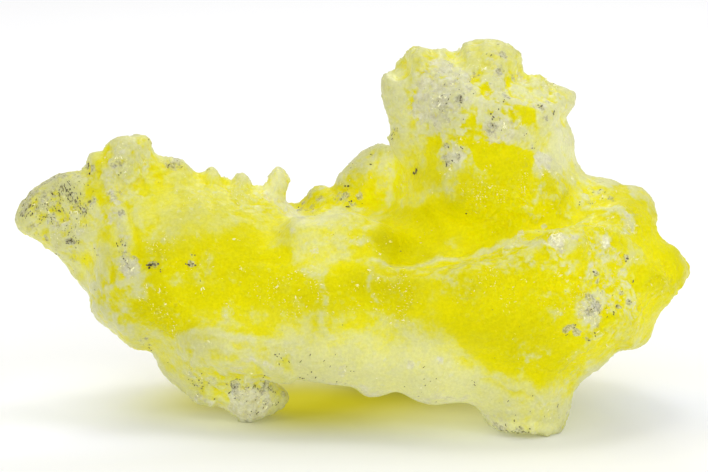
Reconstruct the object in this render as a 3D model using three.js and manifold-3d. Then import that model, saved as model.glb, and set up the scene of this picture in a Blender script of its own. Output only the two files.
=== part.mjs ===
// A hand specimen of yellow brucite: one grown mass, broken from its vein, that lies on three low
// feet. A wedge reaches out to the left, a hollow face crosses the middle, and a knobbly tower
// stands over a smooth bowl to the right. Millimetres, +Z up, with the origin on the resting
// surface under the middle of the specimen. The front faces -Y.
import * as THREE from 'three';
import { MarchingCubes } from 'three/addons/objects/MarchingCubes.js';
import { ImprovedNoise } from 'three/addons/math/ImprovedNoise.js';
import { mergeVertices } from 'three/addons/utils/BufferGeometryUtils.js';
import Module from 'manifold-3d';

// Driving dimensions. The growths below are placed for a specimen about 100 long, and the finished
// mass is then brought to exactly LENGTH.
const LENGTH = 100;

// How softly one kind of growth runs into the next
const MASS_BLEND = 5;
const RIDGE_BLEND = 3;
const KNOB_BLEND = 1.6;
const HOLLOW_BLEND = 3;

// Shallow waves over the whole skin: their height, and the distance from one to the next
const WAVE_HEIGHT = 0.55;
const WAVE_PITCH = 6.5;
const WAVE_START = new THREE.Vector3(11.3, 5.7, 2.1);

// The grid that the skin is traced on. A power of two cells keeps shared corners exactly alike.
const CELL = 1.95;
const CELLS_ACROSS = 64;
const GRID_MIDDLE = new THREE.Vector3(0, 0, 27);
const SPECIMEN_REACH = new THREE.Box3(new THREE.Vector3(-54, -30, -6), new THREE.Vector3(54, 30, 60));
const MOST_TRIANGLES = 20000;
const LEAST_DEPTH = 0.14;
const MERGE_DISTANCE = 1e-4;
const FLOOR_BLOCK = new THREE.Vector3(160, 120, 20);

// One rounded growth: its centre, its half sizes, and how far it leans about Y, in degrees
function lump(x, y, z, width, depth = width, height = width, lean = 0) {
  return {
    centre: new THREE.Vector3(x, y, z),
    halfSize: new THREE.Vector3(width, depth, height),
    lean: THREE.MathUtils.degToRad(lean),
  };
}

// One rounded ridge, whose radius changes evenly from its start to its end
function ridge(start, startRadius, end, endRadius) {
  return {
    start: new THREE.Vector3(...start),
    run: new THREE.Vector3(...end).sub(new THREE.Vector3(...start)),
    startRadius,
    endRadius,
  };
}

// The broad masses, from left to right
const masses = [
  ridge([-46, 2, 28.8], 3.3, [-29, 2, 22], 11.2),
  ridge([-46, 2, 29.5], 3.4, [-37, 2, 31], 4.5),
  lump(-24, 2, 22, 15, 12, 11),
  lump(-24, -1, 9.5, 7, 8, 7, 35),
  lump(0, 2, 18, 27, 16, 11),
  lump(12, -6, 16.5, 13, 10.5, 8),
  lump(23, 0, 17, 19.5, 18, 12),
  lump(19, 5, 32, 13, 11, 8),
  lump(20, -1, 34.5, 10, 7.5, 7),
  lump(17.5, 4, 43, 11, 9.5, 10.5),
  lump(29.3, -4, 14, 10, 11, 9),
  lump(36, 3, 25, 9, 12, 7.5),
  lump(41.5, 0, 20, 6.5, 9, 6),
];

// The feet that the specimen lies on
const feet = [
  ridge([-16.5, -4, 9], 5.5, [-15.2, -4.5, 3], 4.3),
  ridge([24, -7, 10], 7.5, [24.4, -9, 3], 6.2),
  ridge([5, 13, 10], 9, [6, 17, 2], 6),
];

// The bowl under the tower, the trough to the left of it, and three pits in the back
const hollows = [
  lump(10.5, -15, 28.3, 9.5, 9.5, 5.2),
  lump(-20, -20, 26, 15, 9, 8),
  lump(1, 22, 30, 8, 6, 5),
  lump(-22, 19, 25, 9, 6, 5),
  lump(19, 24, 25, 7, 7, 4.5),
];

// Ridges of crust on the wedge, along the rims and the lower lip, and round the bowl
const ridges = [
  ridge([-37.6, 0, 35], 2.4, [-35.2, -6, 25], 2.4),
  ridge([-35.2, -6, 25], 2.4, [-34, -6, 17], 3.6),
  ridge([-33.6, -4, 30], 2, [-30.5, -8, 19.5], 2.6),
  ridge([-30, 2, 32], 3, [-16, 3, 30.5], 2.5),
  ridge([-6, 11, 27], 3, [4.5, 8, 34.5], 3.8),
  ridge([-22, -9, 13], 3.5, [-8, -11, 11], 4),
  ridge([-8, -11, 11], 4, [8, -12, 9], 4.5),
  ridge([8, -12, 9], 4.5, [20, -11, 8], 4),
  ridge([3, -12.5, 22.5], 2.4, [15, -15.5, 23], 2.4),
  ridge([15, -15.5, 23], 2.4, [29, -13, 27.4], 2.6),
  ridge([29, -13, 27.4], 2.6, [41, -3, 27], 3.2),
  ridge([41.5, -3, 26.5], 2.3, [45.5, -1, 21.5], 2.3),
  ridge([-29, 11, 28], 3, [-9, 15, 25], 3.4),
  ridge([17, 15, 30], 4, [36, 11, 25], 3.4),
];

// Knobs along the skyline, from the wedge over the tower to the right tip
const skylineKnobs = [
  lump(-39, 2, 35.8, 2.6),
  lump(-35.3, 1, 37.5, 3.7),
  lump(-31.4, 2, 38.2, 3.3, 3.3, 2.9),
  lump(-26, 3, 33.8, 3.2),
  lump(-20.7, 3, 33.3, 2.5),
  lump(-16.9, 3, 32.6, 2.4),
  lump(-11.9, 4, 32.8, 2.2, 2.2, 3.7, 12),
  lump(7.9, 2, 41, 4),
  lump(8, 2, 46, 4.8),
  lump(9.7, 2, 49.7, 4.8),
  lump(19.6, 4, 49.2, 5.6),
  lump(26, 3, 45.6, 3.6),
  lump(28.1, 4, 45.5, 3.8),
  lump(28.4, 3, 38.8, 3.8),
  lump(33.8, 4, 32, 3.8),
  lump(40, 2, 29.8, 3.8),
  lump(45.7, 0, 20.9, 3.5),
];

// Knobs on the front of the tower, on the saddle beside it and low on the front
const frontKnobs = [
  lump(13.5, -3, 45.5, 4.4),
  lump(20.5, -3.5, 44, 4.8),
  lump(26, -1.5, 44, 3.8),
  lump(-7.3, -5.5, 27, 3.8),
  lump(-1.3, -6.5, 27.2, 4.4),
  lump(3, -7, 26.8, 3.2),
  lump(-35.2, -1, 16, 3.8),
  lump(-29.5, -5, 14.5, 4.4),
  lump(-20.5, -3, 5, 4.2),
  lump(12.6, -9, 7.4, 4.5),
  lump(38.4, -2, 14, 3.8),
  lump(40.6, -2, 12.6, 2.6),
];

// Knobs on the back
const backKnobs = [
  lump(-30, 9, 23, 6),
  lump(-16, 12, 16, 7),
  lump(-5, 15, 20, 6.5),
  lump(10, 17, 14, 8),
  lump(12, 14, 28, 6.5),
  lump(27, 15, 18, 8),
  lump(37, 10, 18, 6.5),
  lump(24, 11, 37, 6),
  lump(13, 11, 43, 5),
];

const knobs = [...skylineKnobs, ...frontKnobs, ...backKnobs];

const leanAxis = new THREE.Vector3(0, 1, 0);

// The distance from a point to a growth's skin, which is negative inside it
function lumpDistance(growth, point) {
  const local = point.clone().sub(growth.centre).applyAxisAngle(leanAxis, -growth.lean);
  const scaled = local.divide(growth.halfSize).length();
  const slope = Math.max(local.divide(growth.halfSize).length(), Number.EPSILON);
  return scaled * (scaled - 1) / slope;
}

function ridgeDistance(growth, point) {
  const local = point.clone().sub(growth.start);
  const share = THREE.MathUtils.clamp(local.dot(growth.run) / growth.run.lengthSq(), 0, 1);
  const radius = THREE.MathUtils.lerp(growth.startRadius, growth.endRadius, share);
  return local.addScaledVector(growth.run, -share).length() - radius;
}

function growthDistance(growth, point) {
  return growth.run ? ridgeDistance(growth, point) : lumpDistance(growth, point);
}

// The smaller of two distances, rounded off where they differ by less than `blend`
function softMin(a, b, blend) {
  const overlap = Math.max(blend - Math.abs(a - b), 0) / blend;
  return Math.min(a, b) - overlap * overlap * blend / 4;
}

// The distance to what is there already with these growths joined to it
function join(distance, growths, point, blend) {
  const nearer = (nearest, growth) => softMin(nearest, growthDistance(growth, point), blend);
  return growths.reduce(nearer, distance);
}

// The same with these growths' shapes taken away from it
function carve(distance, growths, point, blend) {
  const further = (nearest, growth) => -softMin(-nearest, growthDistance(growth, point), blend);
  return growths.reduce(further, distance);
}

const noise = new ImprovedNoise();

function skinDistance(point) {
  let distance = join(Infinity, [...masses, ...feet], point, MASS_BLEND);
  distance = carve(distance, hollows, point, HOLLOW_BLEND);
  distance = join(distance, ridges, point, RIDGE_BLEND);
  distance = join(distance, knobs, point, KNOB_BLEND);
  const wave = point.clone().divideScalar(WAVE_PITCH).add(WAVE_START);
  return distance + WAVE_HEIGHT * noise.noise(wave.x, wave.y, wave.z);
}

// How deep a grid corner lies, kept off zero so that no sliver of a triangle forms beside it
function cornerDepth(point) {
  const depth = SPECIMEN_REACH.containsPoint(point) ? -skinDistance(point) : -CELL;
  return Math.sign(depth) * Math.max(Math.abs(depth), LEAST_DEPTH);
}

// The grown skin as one closed surface of triangles
function grownSkin() {
  const halfGrid = CELL * CELLS_ACROSS / 2;
  const tracer = new MarchingCubes(CELLS_ACROSS, new THREE.Material(), false, false, MOST_TRIANGLES);
  tracer.isolation = 0;
  const corner = new THREE.Vector3();
  for (let k = 0; k < CELLS_ACROSS; k += 1) {
    for (let j = 0; j < CELLS_ACROSS; j += 1) {
      for (let i = 0; i < CELLS_ACROSS; i += 1) {
        corner.set(i, j, k).multiplyScalar(CELL).subScalar(halfGrid).add(GRID_MIDDLE);
        tracer.setCell(i, j, k, cornerDepth(corner));
      }
    }
  }
  tracer.update();
  const skin = new THREE.BufferGeometry();
  const corners = tracer.positionArray.slice(0, tracer.count * 3);
  skin.setAttribute('position', new THREE.BufferAttribute(corners, 3));
  skin.scale(halfGrid, halfGrid, halfGrid);
  skin.translate(GRID_MIDDLE.x, GRID_MIDDLE.y, GRID_MIDDLE.z);
  return mergeVertices(skin, MERGE_DISTANCE);
}

const wasm = await Module();
wasm.setup();

function toSolid(geometry) {
  const vertProperties = Float32Array.from(geometry.attributes.position.array);
  const triVerts = Uint32Array.from(geometry.index.array);
  return new wasm.Manifold(new wasm.Mesh({ numProp: 3, vertProperties, triVerts }));
}

function toGeometry(solid) {
  const mesh = solid.getMesh();
  const geometry = new THREE.BufferGeometry();
  geometry.setAttribute('position', new THREE.BufferAttribute(mesh.vertProperties, 3));
  geometry.setIndex(new THREE.BufferAttribute(mesh.triVerts, 1));
  return geometry;
}

// A block whose top is the resting surface
function floorBlock() {
  const block = new THREE.BoxGeometry(FLOOR_BLOCK.x, FLOOR_BLOCK.y, FLOOR_BLOCK.z);
  block.translate(0, 0, -FLOOR_BLOCK.z / 2);
  block.deleteAttribute('normal');
  block.deleteAttribute('uv');
  return toSolid(mergeVertices(block));
}

// The skin cut off flat at the resting surface, centred over the origin and brought to its length
function restingMass() {
  const mass = toGeometry(toSolid(grownSkin()).subtract(floorBlock()));
  mass.computeBoundingBox();
  const middle = mass.boundingBox.getCenter(new THREE.Vector3());
  const size = mass.boundingBox.getSize(new THREE.Vector3());
  mass.translate(-middle.x, -middle.y, 0);
  mass.scale(LENGTH / size.x, LENGTH / size.x, LENGTH / size.x);
  mass.computeVertexNormals();
  return mass;
}

const waxyYellow = new THREE.MeshStandardMaterial({ color: 0xded81a, roughness: 0.45, metalness: 0 });

const specimen = new THREE.Group();
const brucite = new THREE.Mesh(restingMass(), waxyYellow);
brucite.name = 'brucite';
specimen.add(brucite);

export default specimen;
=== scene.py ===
import math

import bpy
import numpy as np
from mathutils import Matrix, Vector
from mathutils.bvhtree import BVHTree


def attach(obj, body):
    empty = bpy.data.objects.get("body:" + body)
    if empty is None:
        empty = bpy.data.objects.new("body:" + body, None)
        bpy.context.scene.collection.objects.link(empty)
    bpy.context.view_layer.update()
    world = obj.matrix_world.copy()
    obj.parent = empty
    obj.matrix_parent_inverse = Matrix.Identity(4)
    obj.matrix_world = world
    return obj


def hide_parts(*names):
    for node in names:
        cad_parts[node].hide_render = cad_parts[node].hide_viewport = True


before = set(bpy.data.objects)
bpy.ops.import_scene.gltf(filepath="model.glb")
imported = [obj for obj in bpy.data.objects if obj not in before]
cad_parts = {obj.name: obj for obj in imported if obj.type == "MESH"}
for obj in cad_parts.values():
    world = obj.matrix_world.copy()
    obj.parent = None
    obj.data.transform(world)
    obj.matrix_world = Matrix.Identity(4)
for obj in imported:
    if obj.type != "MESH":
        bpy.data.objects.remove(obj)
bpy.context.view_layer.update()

MM = 0.001

# Camera
EYE_DISTANCE = 291 * MM
EYE_RISE = math.radians(12)
AIM = Vector((0, 0, 25.8)) * MM
LENS = 100

# Skin: grids and spread of light in metres, steps and dabs in millimetres
COARSE_GRID = 0.8 * MM
FINE_GRID = 0.35 * MM
MOST_FACES = 190000
OUTLINE_STEP = 0.5
WIDE_DAB = 5
LIGHT_SPREAD = 4 * MM

# Loose crystals and grains: how many, the length of one bit (mm), the widest turn (radians)
SUGAR_COUNT = 7500
SPECK_COUNT = 200
GRAIN_BIT = 0.32
FULL_TURN = 6.3

# Room: strength of the light all round and of the light from above
ROOM_LIGHT = 0.475
TENT_LIGHT = 1.1


def alone(piece):
    bpy.ops.object.select_all(action="DESELECT")
    piece.select_set(True)
    bpy.context.view_layer.objects.active = piece


def finish_with(piece, kind, **settings):
    alone(piece)
    modifier = piece.modifiers.new(kind.lower(), kind)
    for name, value in settings.items():
        setattr(modifier, name, value)
    bpy.ops.object.modifier_apply(modifier=modifier.name)


def spots(piece):
    """Vertex places in millimetres"""
    flat = np.empty(len(piece.data.vertices) * 3)
    piece.data.vertices.foreach_get("co", flat)
    return flat.reshape(-1, 3) / MM


def set_spots(piece, points):
    piece.data.vertices.foreach_set("co", (points * MM).ravel())
    piece.data.update()


def facing(piece):
    flat = np.empty(len(piece.data.vertices) * 3)
    piece.data.vertex_normals.foreach_get("vector", flat)
    return flat.reshape(-1, 3)


def drift(points, size, seed):
    """Smooth wandering from -1 to 1 whose swells are about this many millimetres wide"""
    field = np.random.default_rng(seed).uniform(-1, 1, (32, 32, 32))
    at = points / size
    cell = np.floor(at).astype(int)
    part = at - cell
    part = part * part * (3 - 2 * part)
    total = np.zeros(len(points))
    for i in (0, 1):
        for j in (0, 1):
            for k in (0, 1):
                share = np.abs(1 - i - part[:, 0]) * np.abs(1 - j - part[:, 1]) * np.abs(1 - k - part[:, 2])
                total += share * field[(cell[:, 0] + i) % 32, (cell[:, 1] + j) % 32, (cell[:, 2] + k) % 32]
    return total


def soft(x, low, high):
    """0 below low, 1 above high, with a gentle rise between"""
    t = np.clip((x - low) / (high - low), 0, 1)
    return t * t * (3 - 2 * t)


def eye():
    camera = bpy.data.cameras.new("camera")
    camera.lens = LENS
    camera.sensor_width = 36
    camera.clip_start = 0.01
    camera.clip_end = 20
    stand = bpy.data.objects.new("camera", camera)
    bpy.context.scene.collection.objects.link(stand)
    back = Vector((0, -math.cos(EYE_RISE), math.sin(EYE_RISE)))
    stand.location = AIM + back * EYE_DISTANCE
    stand.rotation_euler = (math.pi / 2 - EYE_RISE, 0, 0)
    bpy.context.scene.camera = stand
    return stand


camera = eye()


# The solid, copied and given a fine skin to work on
def grown_mass():
    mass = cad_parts["brucite"].copy()
    mass.data = mass.data.copy()
    mass.name = "brucite_mass"
    for key in list(mass.keys()):
        del mass[key]
    mass.parent = None
    bpy.context.scene.collection.objects.link(mass)
    alone(mass)
    bpy.ops.object.mode_set(mode="EDIT")
    bpy.ops.mesh.select_all(action="SELECT")
    bpy.ops.mesh.remove_doubles(threshold=1e-6)
    bpy.ops.object.mode_set(mode="OBJECT")
    finish_with(mass, "REMESH", mode="VOXEL", voxel_size=COARSE_GRID)
    finish_with(mass, "SMOOTH", factor=0.5, iterations=5)
    return mass


mass = grown_mass()


def skin_tree():
    points = [Vector(p) for p in spots(mass)]
    faces = [tuple(f.vertices) for f in mass.data.polygons]
    return BVHTree.FromPolygons(points, faces)


tree = skin_tree()


def sighted(u, w):
    """Where a look from the camera through (u, 0, w) mm meets the skin"""
    start = Vector(np.array(camera.location) / MM)
    through = Vector((u, 0, w))
    place, normal = tree.ray_cast(start, (through - start).normalized())[:2]
    if place is None:
        place, normal = tree.find_nearest(through)[:2]
    return np.array(place), np.array(normal)


# The edge of the specimen as the camera sees it: across, up (mm); a smooth curve joins the points
outline = [
    (-50, 28), (-49.75, 29.5), (-49, 31), (-47.25, 33), (-44.75, 34.5), (-42.25, 35.5), (-39.75, 36),
    (-39.25, 37.25), (-38.5, 38.25), (-37, 38.5), (-36.25, 39.75), (-34.75, 40.5), (-32.5, 41), (-31, 41),
    (-29.75, 40.5), (-29.5, 39), (-28.75, 38), (-25.75, 37.5), (-24, 36.25), (-22.5, 35.25), (-21.75, 36),
    (-20.5, 36), (-19.5, 35.25), (-18.75, 34.5), (-18, 34.75), (-17, 35.5), (-15.75, 35), (-14.25, 33.5),
    (-13.75, 33.5), (-12.5, 35), (-11.75, 36), (-10.5, 36), (-9.5, 34.75), (-9.5, 33.5), (-10, 32),
    (-9.25, 31), (-8, 31), (-7, 32), (-6.25, 33), (-5, 33.5), (-3.25, 33.25), (-2.5, 34.75), (-0.25, 37.25),
    (1.5, 38.75), (4, 40), (5.25, 41.25), (5, 43), (4, 46.75), (4, 49), (4.5, 50.25), (6, 51),
    (6.75, 52.5), (7.75, 53.5), (9.25, 54), (11.5, 53.5), (12.75, 53.75), (14, 53.25), (14.75, 53.25),
    (15.5, 54.25), (17, 54.75), (19, 55), (21.25, 54.75), (23, 54), (24.25, 52.75), (24.75, 51.25),
    (24.75, 50), (26, 50), (27.25, 49.75), (28.75, 48.75), (30.5, 48), (31.75, 47.5), (32.5, 46.5),
    (32, 45), (31, 43.25), (31.5, 42.5), (32.25, 40.25), (32.5, 37.75), (33.5, 36), (34.5, 35),
    (36, 34.75), (38.25, 34.25), (39.75, 33.5), (41, 33.5), (42.5, 33), (44, 31.5), (44.75, 29.25),
    (45, 26.5), (46, 25.25), (48, 23.75), (49.75, 21.5), (50, 20.5), (49.25, 18.75), (48, 16.75),
    (47, 15.5), (45.75, 14), (45, 12.25), (44.25, 10), (43.25, 9), (41.5, 8.25), (40, 8.25), (39, 7.5),
    (37, 5.5), (35, 4), (33.25, 2), (32.75, -0.5), (32.25, -2.75), (31.25, -4.5), (29.5, -5),
    (26.5, -4.75), (22.75, -4.5), (20.25, -3.25), (19, -1.25), (17.25, 0), (14.5, 0), (11.75, -0.25),
    (9.25, 0.5), (6.75, 1.75), (5.25, 1.5), (3.25, 1), (1.5, 1.25), (-0.25, 2.5), (-4, 3), (-7.25, 3.5),
    (-9, 3.5), (-9.75, 2), (-10, 0), (-11.5, -1.25), (-13.5, -2.25), (-16.25, -3), (-18, -2.25),
    (-20, -0.75), (-22.5, -0.5), (-24, 0.25), (-26, 2), (-28.25, 4), (-29.5, 6), (-30.5, 8), (-33, 8.5),
    (-35.5, 10.5), (-38, 12.75), (-39.25, 14.75), (-39.5, 16.75), (-41.25, 19), (-43.25, 22), (-45.5, 24),
    (-47.5, 25.5), (-49.25, 26.25),
]


def seen(points):
    """Where each point appears on the middle plane from the camera (across, up), and how near it is"""
    stand = np.array(camera.location) / MM
    ahead = points - stand
    reach = -stand[1] / ahead[:, 1]
    hit = stand + ahead * reach[:, None]
    return hit[:, [0, 2]], 1 / reach


def curved(corners):
    """A smooth closed line through the drawn points, in steps of about OUTLINE_STEP"""
    line = []
    before = np.roll(corners, 1, axis=0)
    after = np.roll(corners, -1, axis=0)
    for a, b, c, d in zip(before, corners, after, np.roll(corners, -2, axis=0)):
        steps = max(1, round(float(np.linalg.norm(c - b)) / OUTLINE_STEP))
        for t in np.arange(steps) / steps:
            line.append(b + 0.5 * t * (c - a + t * (2 * a - 5 * b + 4 * c - d + t * (3 * (b - c) + d - a))))
    return np.array(line)


def outline_marks():
    marks = curved(np.array(outline, dtype=float))
    along = np.roll(marks, -1, axis=0) - np.roll(marks, 1, axis=0)
    outward = np.stack([-along[:, 1], along[:, 0]], axis=1)
    return marks, outward / np.linalg.norm(outward, axis=1)[:, None]


def fit_outline(reach, width, depth_in, times):
    """Pulls the rim of the mass out or in to the drawn outline, fading inward"""
    marks, outward = outline_marks()
    for _ in range(times):
        points = spots(mass)
        flat, nearness = seen(points)
        shift = np.zeros(len(marks))
        for k, (mark, out) in enumerate(zip(marks, outward)):
            away = flat - mark
            beyond = away @ out
            strip = (np.abs(away @ np.array((-out[1], out[0]))) < 0.4) & (np.abs(beyond) < reach)
            if strip.any():
                shift[k] = -beyond[strip].max()
        shift = (shift + np.roll(shift, 1) + np.roll(shift, -1)) / 3
        move = np.zeros((len(points), 2))
        total = np.full(len(points), 1e-6)
        closest = np.full(len(points), 1e9)
        for mark, out, amount in zip(marks, outward, shift):
            square = ((flat - mark) ** 2).sum(axis=1)
            share = np.exp(-square / width ** 2)
            move += share[:, None] * out * amount
            total += share
            closest = np.minimum(closest, square)
        fade = np.exp(-closest / depth_in ** 2)
        move *= (fade / total / nearness)[:, None]
        points[:, 0] += move[:, 0]
        points[:, 2] += move[:, 1]
        set_spots(mass, points)


fit_outline(reach=2.6, width=1.0, depth_in=3.5, times=2)
tree = skin_tree()


# Clusters of rounded growths: across, up, reach of the cluster, how many, radius
growths = [
    (-32.5, 38.2, 2.4, 8, 1.2),
    (-26, 36.6, 1.8, 3, 1.2),
    (-34.5, 18, 1.8, 5, 1.3),
    (-21.5, 21.5, 1.4, 4, 1.4),
    (-13, 29.5, 2.4, 6, 1.2),
    (-2, 32, 3.2, 6, 1.2),
    (15, 25.4, 1.6, 4, 1.1),
    (14.8, 38, 1.8, 5, 1.2),
    (31, 25.6, 3, 7, 1.1),
    (38.5, 28, 2.8, 5, 1.2),
    (37.5, 16, 4.2, 17, 1.3),
    (-28, 13.5, 2.6, 9, 0.9),
    (25.5, 0.3, 4.5, 12, 1.1),
    (-18, 3.5, 4.8, 17, 1.2),
    (-28.3, 9.2, 1, 2, 1),
]


# Lobes and growths that stand clear of the skin: x, y, z, radius
lobes = [
    (13.8, 2.2, 50.2, 3.4), (7.4, 1.6, 50.2, 2.9),
    (-12.4, 3.5, 29.4, 2.4), (-12.2, 3.5, 31.0, 2.3), (-11.7, 3.6, 32.5, 2.1), (-11.1, 3.7, 33.6, 1.7),
    (-14.6, 3.4, 31.2, 1.7), (-15.9, 3.2, 32.9, 1.7), (-20.7, 3.0, 33.7, 1.8), (-38.7, 1.0, 36.8, 1.0),
    (-29.9, 1.0, 39.4, 1.0), (-34.3, 1.0, 37.4, 2.5), (-31.8, 1.0, 38.0, 2.4), (-26.5, 2.0, 35.0, 2.2),
    (9.2, 1.5, 48.1, 5.1), (13.0, 1.0, 52.0, 1.7), (19.4, 1.5, 49.4, 5.2), (15.8, -1.0, 45.6, 4.4),
    (22.4, -1.5, 45.8, 4.4), (26.5, 0.5, 46.7, 3.2), (29.8, 0.5, 45.6, 2.5), (29.4, 0.5, 41.0, 2.6),
    (29.9, 0.5, 38.4, 2.7), (31.4, 0.5, 36.0, 2.3), (8.6, 0.0, 44.3, 3.8), (11.5, -1.0, 45.2, 3.4),
    (18.8, -2.6, 44.6, 2.6), (12.6, -2.6, 47.6, 2.4), (19.2, -2.6, 50.6, 2.8), (24.8, -2.2, 43.4, 2.2),
]


def ball_pattern(subdivisions, radius):
    bpy.ops.object.select_all(action="DESELECT")
    bpy.ops.mesh.primitive_ico_sphere_add(subdivisions=subdivisions, radius=radius)
    ball = bpy.context.object
    points = spots(ball) * MM
    faces = np.array([tuple(f.vertices) for f in ball.data.polygons])
    bpy.data.objects.remove(ball)
    return points, faces


def repeated(faces, size, count):
    """The faces of a pattern of this many points, over and over for each copy"""
    return (faces[None] + (np.arange(count) * size)[:, None, None]).reshape(-1, faces.shape[1])


def joined(name, points, faces):
    mesh = bpy.data.meshes.new(name)
    mesh.from_pydata((points * MM).tolist(), [], faces.tolist())
    mesh.update()
    piece = bpy.data.objects.new(name, mesh)
    bpy.context.scene.collection.objects.link(piece)
    return piece


def balls(name, centres, radii, seed):
    pattern, faces = ball_pattern(3, 1)
    count = len(centres)
    rng = np.random.default_rng(seed)
    stretch = 1 + rng.uniform(-0.18, 0.2, (count, 1, 3)) * (radii < 2)[:, None, None]
    cloud = pattern[None] * stretch * radii[:, None, None]
    wobble = drift((cloud + centres[:, None]).reshape(-1, 3), 0.9, seed).reshape(count, -1, 1)
    cloud = cloud * (1 + 0.14 * wobble) + centres[:, None]
    return joined(name, cloud.reshape(-1, 3), repeated(faces, len(pattern), count))


def skin_places(count, weight, seed):
    """Random places on the skin, more of them where the weight is high"""
    centres = np.array([f.center for f in mass.data.polygons]) / MM
    normals = np.array([f.normal for f in mass.data.polygons])
    areas = np.array([f.area for f in mass.data.polygons])
    share = areas * np.clip(weight(centres), 0, None)
    share /= share.sum()
    pick = np.random.default_rng(seed).choice(len(centres), count, p=share)
    return centres[pick], normals[pick]


def near(points, centre, reach):
    """1 at the centre of an ellipsoid, falling to 0 at its edge"""
    away = np.linalg.norm((points - np.array(centre)) / np.array(reach), axis=1)
    return soft(1 - away, 0, 0.6)


def crusty_zone(p):
    tower = near(p, (17, 2, 47), (19, 30, 12))
    knob = near(p, (-33, 2, 36), (9, 30, 7))
    rim = near(p, (-17, 4, 33), (13, 30, 5))
    back = 0.25 * (p[:, 1] > 2)
    return tower + knob + 0.7 * rim + back


def sugary_zone(p):
    right = near(p, (30, -6, 21), (24, 30, 16))
    slope = near(p, (22, -8, 31), (14, 30, 9))
    return right + 0.8 * slope + 0.15


def footing_zone(p):
    left = near(p, (-15, -6, 3), (12, 16, 9))
    right = near(p, (25, -6, 3), (12, 16, 8))
    return left + right + near(p, (6, 14, 4), (12, 9, 8))


def spread_about(u, w, reach, count, rng):
    """Places spread over a round area, evenly but each a little astray"""
    n = np.arange(count)
    turn = 2.4 * n + rng.uniform(0, FULL_TURN)
    out = reach * np.sqrt((n + 0.5) / count)
    places = np.stack([u + out * np.cos(turn), w + out * np.sin(turn)], axis=1)
    return places + rng.normal(0, 0.12 * reach, (count, 2))


def add_growths():
    centres = []
    radii = []
    rng = np.random.default_rng(14)
    for u, w, reach, count, size in growths:
        for across, up in spread_about(u, w, reach, count, rng):
            place, normal = sighted(across, up)
            radius = size * rng.uniform(0.8, 1.2)
            centres.append(place - normal * radius * 0.48)
            radii.append(radius)
    for x, y, z, radius in lobes:
        centres.append(np.array((x, y, z)))
        radii.append(radius)
    for count, zone, small, large, sunk, seed in (
        (200, crusty_zone, 0.6, 2.2, 0.72, 11),
        (90, sugary_zone, 0.6, 1.8, 0.78, 12),
        (60, footing_zone, 0.6, 1.6, 0.7, 13),
    ):
        places, normals = skin_places(count, zone, seed)
        sizes = np.random.default_rng(seed + 50).uniform(0, 1, count) ** 2 * (large - small) + small
        centres += list(places - normals * (sizes * sunk)[:, None])
        radii += list(sizes)
    cluster = balls("growths", np.array(centres), np.array(radii), 7)
    alone(mass)
    cluster.select_set(True)
    bpy.ops.object.join()
    finish_with(mass, "REMESH", mode="VOXEL", voxel_size=FINE_GRID)
    finish_with(mass, "SMOOTH", factor=0.5, iterations=2)
    finish_with(mass, "DECIMATE", ratio=MOST_FACES / (2 * len(mass.data.polygons)))


add_growths()
tree = skin_tree()

# Thin crests over the skin: width, height (mm), points across and up
crests = {
    "ledge": (0.45, 0.4, [(4.5, 21), (8, 20.75), (12, 21.5), (18.5, 23), (22, 24.5), (26, 26.25),
                          (29.5, 26.25), (32, 27)]),
    "bowl_wing": (0.7, 0.12, [(12.5, 23), (13.5, 24.5), (16, 26.25)]),
    "saddle_lip": (0.6, 0.15, [(-6, 29), (-4, 30), (-0.5, 30.25), (3, 29)]),
    "curtain": (0.5, 0.2, [(-9, 28.5), (-9.25, 24.5), (-8, 21), (-6, 20.5), (-5, 19.5)]),
    "strand": (0.45, 0.3, [(-4.75, 19.5), (-4.5, 15.5), (-4.75, 12.75), (-4.25, 10.75), (-3.5, 10)]),
    "border_upper": (0.55, 0.3, [(-26, 10.5), (-21, 11), (-17, 10.5), (-15, 9.5), (-10.5, 9)]),
    "border_lower": (0.55, 0.3, [(-21, 9), (-15, 7.5), (-12, 5.25), (-10, 4.25)]),
    "white_ridge": (0.75, 0.3, [(-35.75, 37.25), (-36.25, 34.5), (-35.5, 31), (-34.25, 28), (-33.75, 25.75),
                                (-34, 23), (-32.75, 20.5)]),
    "left_ridge": (0.6, 0.2, [(-38.5, 36.25), (-38.25, 31), (-37.5, 25), (-36.5, 22.5)]),
    "bowl_rim": (0.7, 0.2, [(5.5, 30.5), (9.75, 31.5), (13, 32.75), (13.75, 34.25)]),
    "sheet": (0.7, 0.15, [(3.5, 38.75), (3.75, 34.25), (3.25, 29.75)]),
    "scallop": (0.6, 0.2, [(7.5, 6), (8.5, 6.25), (10, 5), (13, 6.5), (14.25, 6.25)]),
    "foot_top": (0.5, 0.18, [(19.5, 4.5), (23.5, 2.5), (26, 2.25), (28.5, 0.5), (31, 1.25), (32, 0.25)]),
    "fold_a": (0.5, 0.22, [(-7.5, 27.25), (-5, 27.5), (-0.5, 27.75), (3.5, 27)]),
    "fold_b": (0.5, 0.22, [(-7, 24.25), (-2.5, 24.5), (1.75, 25.25)]),
    "fold_c": (0.45, 0.2, [(-3.5, 22), (0.5, 23.5)]),
    "curl": (0.4, 0.5, [(-18.25, 15.5), (-19, 14.5), (-18.75, 12.75), (-17.5, 12)]),
    "swirl": (0.5, 0.4, [(-35.5, 35.5), (-35.5, 37), (-34.25, 37.5), (-33.25, 37), (-33.5, 36),
                         (-34.5, 35.25)]),
    "yellow_ridge": (0.9, 0.22, [(-37.75, 37.25), (-36.5, 33), (-35.5, 28), (-36.5, 25), (-35.25, 21),
                                 (-35.5, 18.5)]),
}

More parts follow.
